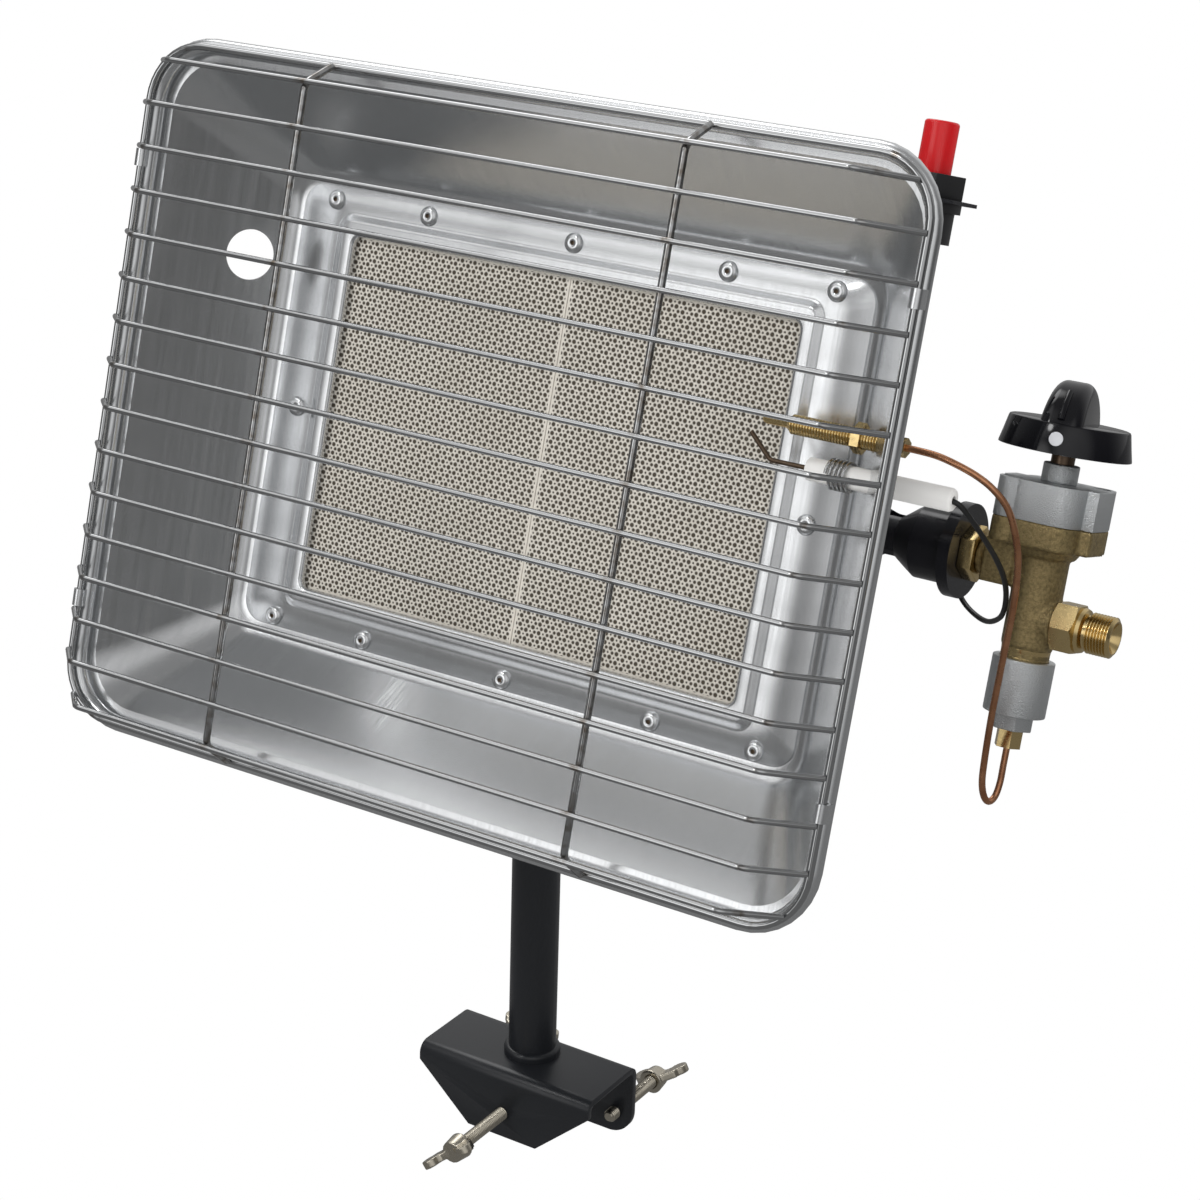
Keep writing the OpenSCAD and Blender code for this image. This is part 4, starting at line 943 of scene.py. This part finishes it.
# %% The valve's neck
NECK_R, NECK_BORE, NECK_TOP, NECK_LOW = 7.8, 4.5, -24.4, -32.4
NECK_PITCH, NECK_DEPTH = 1.0, 0.6
neck = turned(
    [(NECK_BORE, NECK_LOW), (7.0, NECK_LOW), *thread(NECK_R, -32, -26.5, NECK_PITCH, NECK_DEPTH),
     (NECK_R, -26), (7.9, -24.6), (7.3, NECK_TOP), (NECK_BORE, NECK_TOP), (NECK_BORE, NECK_LOW)])
neck = smooth(settle(neck, HEAD @ Matrix.Translation((VALVE_X, GAS_Y, 0))), 35)
keep(neck, "valve_neck_thread", "head", machined_brass, "machined_brass")

# %% [markdown]
# The thermocouple is a brass sleeve with a fine thread, which two nuts clamp to the dish's wall.
# Its thin plain tip reaches in to the tiles' edge, where the flame is.

# %% Thermocouple sleeve
SLEEVE_IN, SLEEVE_R, SLEEVE_PITCH, SLEEVE_DEPTH = 39, 3.2, 1.0, 0.5
wall_at_probe = wall_x(PROBE_Y)
TIP_X = wall_at_probe - SLEEVE_IN
sleeve = turned(
    [(0, 0), (0.9, 0.1), (1.25, 0.6), (1.6, 1.4), (1.6, 8.6), (2.3, 9.6),
     *thread(SLEEVE_R, 10.2, 45, SLEEVE_PITCH, SLEEVE_DEPTH), (2.6, 45.6), (0, 45.8)], 32)
sleeve = smooth(settle(sleeve, on_head(TIP_X, PROBE_Y, PROBE_Z, ALONG_X)), 35)
keep(
    sleeve, "thermocouple_threaded", "head", machined_brass, "machined_brass",
    "thermocouple_sleeve",
)

# %% [markdown]
# The three wing screws have the same stud in two lengths. Each starts at its tip, whose place comes
# from the box of its CAD node.

# %% Studs of the wing screws
SCREW_R, SCREW_PITCH, SCREW_DEPTH = 2.5, 0.8, 0.38
for side, length in (("front", 41), ("left", 35.5), ("right", 35.5)):
    stud = turned(
        [(0, 0), (1.7, 0), (2.1, 0.5),
         *thread(SCREW_R, 0.8, length - 0.4, SCREW_PITCH, SCREW_DEPTH),
         (2.2, length), (0, length)], 32)
    low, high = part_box(side + "_stud")
    tip_y = high[1] if side == "front" else low[1]
    facing = math.pi / 2 if side == "front" else -math.pi / 2
    tip = Matrix.Translation(((low[0] + high[0]) / 2, tip_y, (low[2] + high[2]) / 2))
    stud = smooth(settle(stud, tip @ Matrix.Rotation(facing, 4, "X") @ MM), 35)
    keep(stud, side + "_stud_threaded", side + "_stud", nickel, "nickel", side + "_stud")

# %% [markdown]
# ## Spark electrode
# A white ceramic tube carries the spark rod, which bends up towards the thermocouple's tip. A coil
# of spring wire grips the tube.

# %% Electrode
CERAMIC_R, CERAMIC_IN = 3.7, 20.7
CERAMIC_X = wall_at_probe - CERAMIC_IN
tube = turned(
    [(0, 42), (1.3, 42), (1.3, 49.9), (2.6, 50), (3.3, 49.8), (CERAMIC_R, 49), (CERAMIC_R, 0.8),
     (3.4, 0.25), (2.8, 0), (0.85, 0), (0.85, 7), (0, 7)], 40)
tube = smooth(settle(tube, on_head(CERAMIC_X, PROBE_Y, SPARK_Z, ALONG_X)), 40)
keep(
    tube, "electrode_insulator_round", "head", white_ceramic, "white_ceramic",
    "electrode_insulator",
)
ROD_R, ROD_BEND, ROD_RISE = 0.8, 3, 7.5
ROD_HIDDEN, ROD_STRAIGHT, ROD_PAST = 7, 13.5, 3.5  # in the tube, out of it, past the thermocouple
rod_points = [
    (CERAMIC_X + ROD_HIDDEN, PROBE_Y, SPARK_Z), (CERAMIC_X - ROD_STRAIGHT, PROBE_Y, SPARK_Z),
    (TIP_X - ROD_PAST, PROBE_Y, SPARK_Z + ROD_RISE),
]
rod = smooth(settle(wire(rounded(rod_points, ROD_BEND), ROD_R)), 60)
keep(rod, "electrode_rod_bent", "head", dark_steel, "dark_steel", "electrode_rod")

# %% [markdown]
# The coil is a helix just wider than the tube. Its last turn stops short of the leaning wall.

# %% Clip
CLIP_R, CLIP_PITCH, CLIP_TURNS, CLIP_WIRE, TURN_STEPS = 4.6, 1.5, 5, 0.5, 24
WALL_SIDE, WALL_GAP = 2, 1  # how far the coil stays from the wall, beside it and along it
clip_x = wall_at_probe - (CLIP_R + WALL_SIDE) * wall_slope - WALL_GAP - CLIP_TURNS * CLIP_PITCH
coil = []
for i in range(TURN_STEPS * CLIP_TURNS + 1):
    a = math.tau * i / TURN_STEPS
    y, z = PROBE_Y - CLIP_R * math.cos(a), SPARK_Z + CLIP_R * math.sin(a)
    coil.append(Vector((clip_x + CLIP_PITCH * i / TURN_STEPS, y, z)))
clip = smooth(settle(wire(coil, CLIP_WIRE)), 60)
keep(clip, "electrode_clip_wound", "head", spring_steel, "spring_steel", "electrode_clip")

# %% [markdown]
# ## Floor, light and camera
# The photograph has no visible floor, so the camera sees pure white. Metal mirrors the floor as a
# dim plane, and everything else takes light from it as from white paint. The kind of ray decides
# which of the three it meets.

# %% Floor
FLOOR_Z, FLOOR_MIRRORED = -0.16, 0.22
deselect()
bpy.ops.mesh.primitive_plane_add(size=12, location=(0, 0, FLOOR_Z))
floor = bpy.context.object
floor.name = "floor"
floor_white = finish("floor_white", (0.82, 0.82, 0.82), 0, 0.9)
tree = floor_white.node_tree
seen = node(tree, "LightPath")
surface = tree.nodes["Principled BSDF"].outputs[0]
for ray, level in (("Is Glossy Ray", FLOOR_MIRRORED), ("Is Camera Ray", 1.0)):
    glow = node(tree, "Emission", Strength=level).outputs[0]
    surface = node(tree, "MixShader", seen.outputs[ray], surface, glow).outputs[0]
tree.links.new(surface, tree.nodes["Material Output"].inputs["Surface"])
floor.data.materials.append(floor_white)
print("floor at", FLOOR_Z, "m")

# %% [markdown]
# Metal shows what stands around it. The room it mirrors is dim below and brighter above, with a
# lighter wall behind and a darker side to the right. Five soft screens stand in it: one low in
# front, two overhead to the left, one in front on the right, and a small bright one for the
# highlights. The camera sees white, and other rays meet an even white room.

# %% World
SCREENS = (  # where it stands, its half angle and soft edge in degrees, its level
    ((-0.33, -0.90, 0.24), 8, 13, 1.6),
    ((-0.49, -0.43, 0.76), 11, 18, 0.9),
    ((-0.49, 0.34, 0.80), 8, 12, 3.6),
    ((0.55, -0.70, 0.45), 16, 26, 0.7),
    ((-0.25, -0.62, 0.75), 3, 2, 12),
)
# The ramps: the direction's part at both ends, and the room's level there.
ROOM_UP, ROOM_BACK, ROOM_RIGHT = (-0.4, 0.9, 0.07, 0.34), (0.2, 0.85, 0, 0.4), (0.3, 0.95, 1.0, 0.7)
DIFFUSE_LEVEL, NO_LIGHT = 0.8, 0.01
world = bpy.data.worlds.new("studio")
bpy.context.scene.world = world
world.use_nodes = True
tree = world.node_tree
background = tree.nodes["Background"]
background.inputs["Color"].default_value = (1, 1, 1, 1)
seen = node(tree, "LightPath")
direction = node(tree, "TexCoord").outputs["Generated"]


def room_level(value, low, high, at_low, at_high):
    """A soft ramp of the room's brightness."""
    ramp = node(
        tree, "MapRange", value, low, high, at_low, at_high, interpolation_type="SMOOTHSTEP"
    )
    return ramp.outputs[0]


def screen(towards, half_angle, soft_edge, level):
    """A bright soft patch of the room in this direction."""
    towards = Vector(towards).normalized()
    facing = node(tree, "VectorMath", direction, towards, operation="DOT_PRODUCT")
    inner = math.cos(math.radians(half_angle))
    outer = math.cos(math.radians(half_angle + soft_edge))
    return room_level(facing.outputs["Value"], outer, inner, 0, level)


split = node(tree, "SeparateXYZ", direction)
mirrored = room_level(split.outputs["Z"], *ROOM_UP)
mirrored = math_node(tree, "ADD", mirrored, room_level(split.outputs["Y"], *ROOM_BACK))
for towards, half_angle, soft_edge, level in SCREENS:
    patch = screen(towards, half_angle, soft_edge, level)
    mirrored = math_node(tree, "ADD", mirrored, patch)
mirrored = math_node(tree, "MULTIPLY", mirrored, room_level(split.outputs["X"], *ROOM_RIGHT))
mirrored = math_node(tree, "MULTIPLY", mirrored, seen.outputs["Is Glossy Ray"])
strength = math_node(tree, "ADD", seen.outputs["Is Camera Ray"], mirrored)
others = math_node(tree, "LESS_THAN", strength, NO_LIGHT)
others = math_node(tree, "MULTIPLY", others, DIFFUSE_LEVEL)
tree.links.new(math_node(tree, "ADD", strength, others), background.inputs["Strength"])
print(len(SCREENS), "screens")


# %% [markdown]
# Four soft area lamps give the paint, the plastic and the ceramic their form. Metal doesn't mirror
# them, because their hard edges would clip its highlights.

# %% Lamps
def lamp(name, place, aim, size, power):
    light = bpy.data.lights.new(name, "AREA")
    light.size = size
    light.energy = power
    obj = bpy.data.objects.new(name, light)
    bpy.context.collection.objects.link(obj)
    obj.visible_glossy = False
    obj.location = place
    obj.rotation_euler = (Vector(aim) - Vector(place)).to_track_quat("-Z", "Y").to_euler()
    print(name, power, "W")


lamp("key", (-1.1, -1.4, 1.5), (0, 0, 0.2), 0.9, 19)
lamp("side", (1.4, -1.2, 0.6), (0.1, 0, 0.2), 0.7, 6)
lamp("rear", (0.8, 1.6, 0.9), (0, 0, 0.2), 0.8, 8)
lamp("top", (-0.8, 0.65, 1.7), (0, 0, 0.2), 0.6, 10)

# %% [markdown]
# The camera's place, direction and lens were solved from the photograph, whose sides converge. The
# matrix is built from the three directions, so no angle has to be converted.

# %% Camera at the photograph's angle
SENSOR, LENS = 36, 80.96
EYE = Vector((0.4855, -0.7454, 0.5363))
LOOK = Vector((-0.48994, 0.79124, -0.36593)).normalized()
UP = Vector((-0.21917, 0.29449, 0.93018)).normalized()
RIGHT = LOOK.cross(UP).normalized()
UP = RIGHT.cross(LOOK)
camera = bpy.data.objects.new("camera", bpy.data.cameras.new("camera"))
bpy.context.collection.objects.link(camera)
rows = [(RIGHT[i], UP[i], -LOOK[i], EYE[i]) for i in range(3)]
camera.matrix_world = Matrix((*rows, (0, 0, 0, 1)))
camera.data.sensor_width = SENSOR
camera.data.lens = LENS
bpy.context.scene.camera = camera
bpy.context.scene.view_settings.view_transform = "Standard"
print("camera", LENS, "mm")
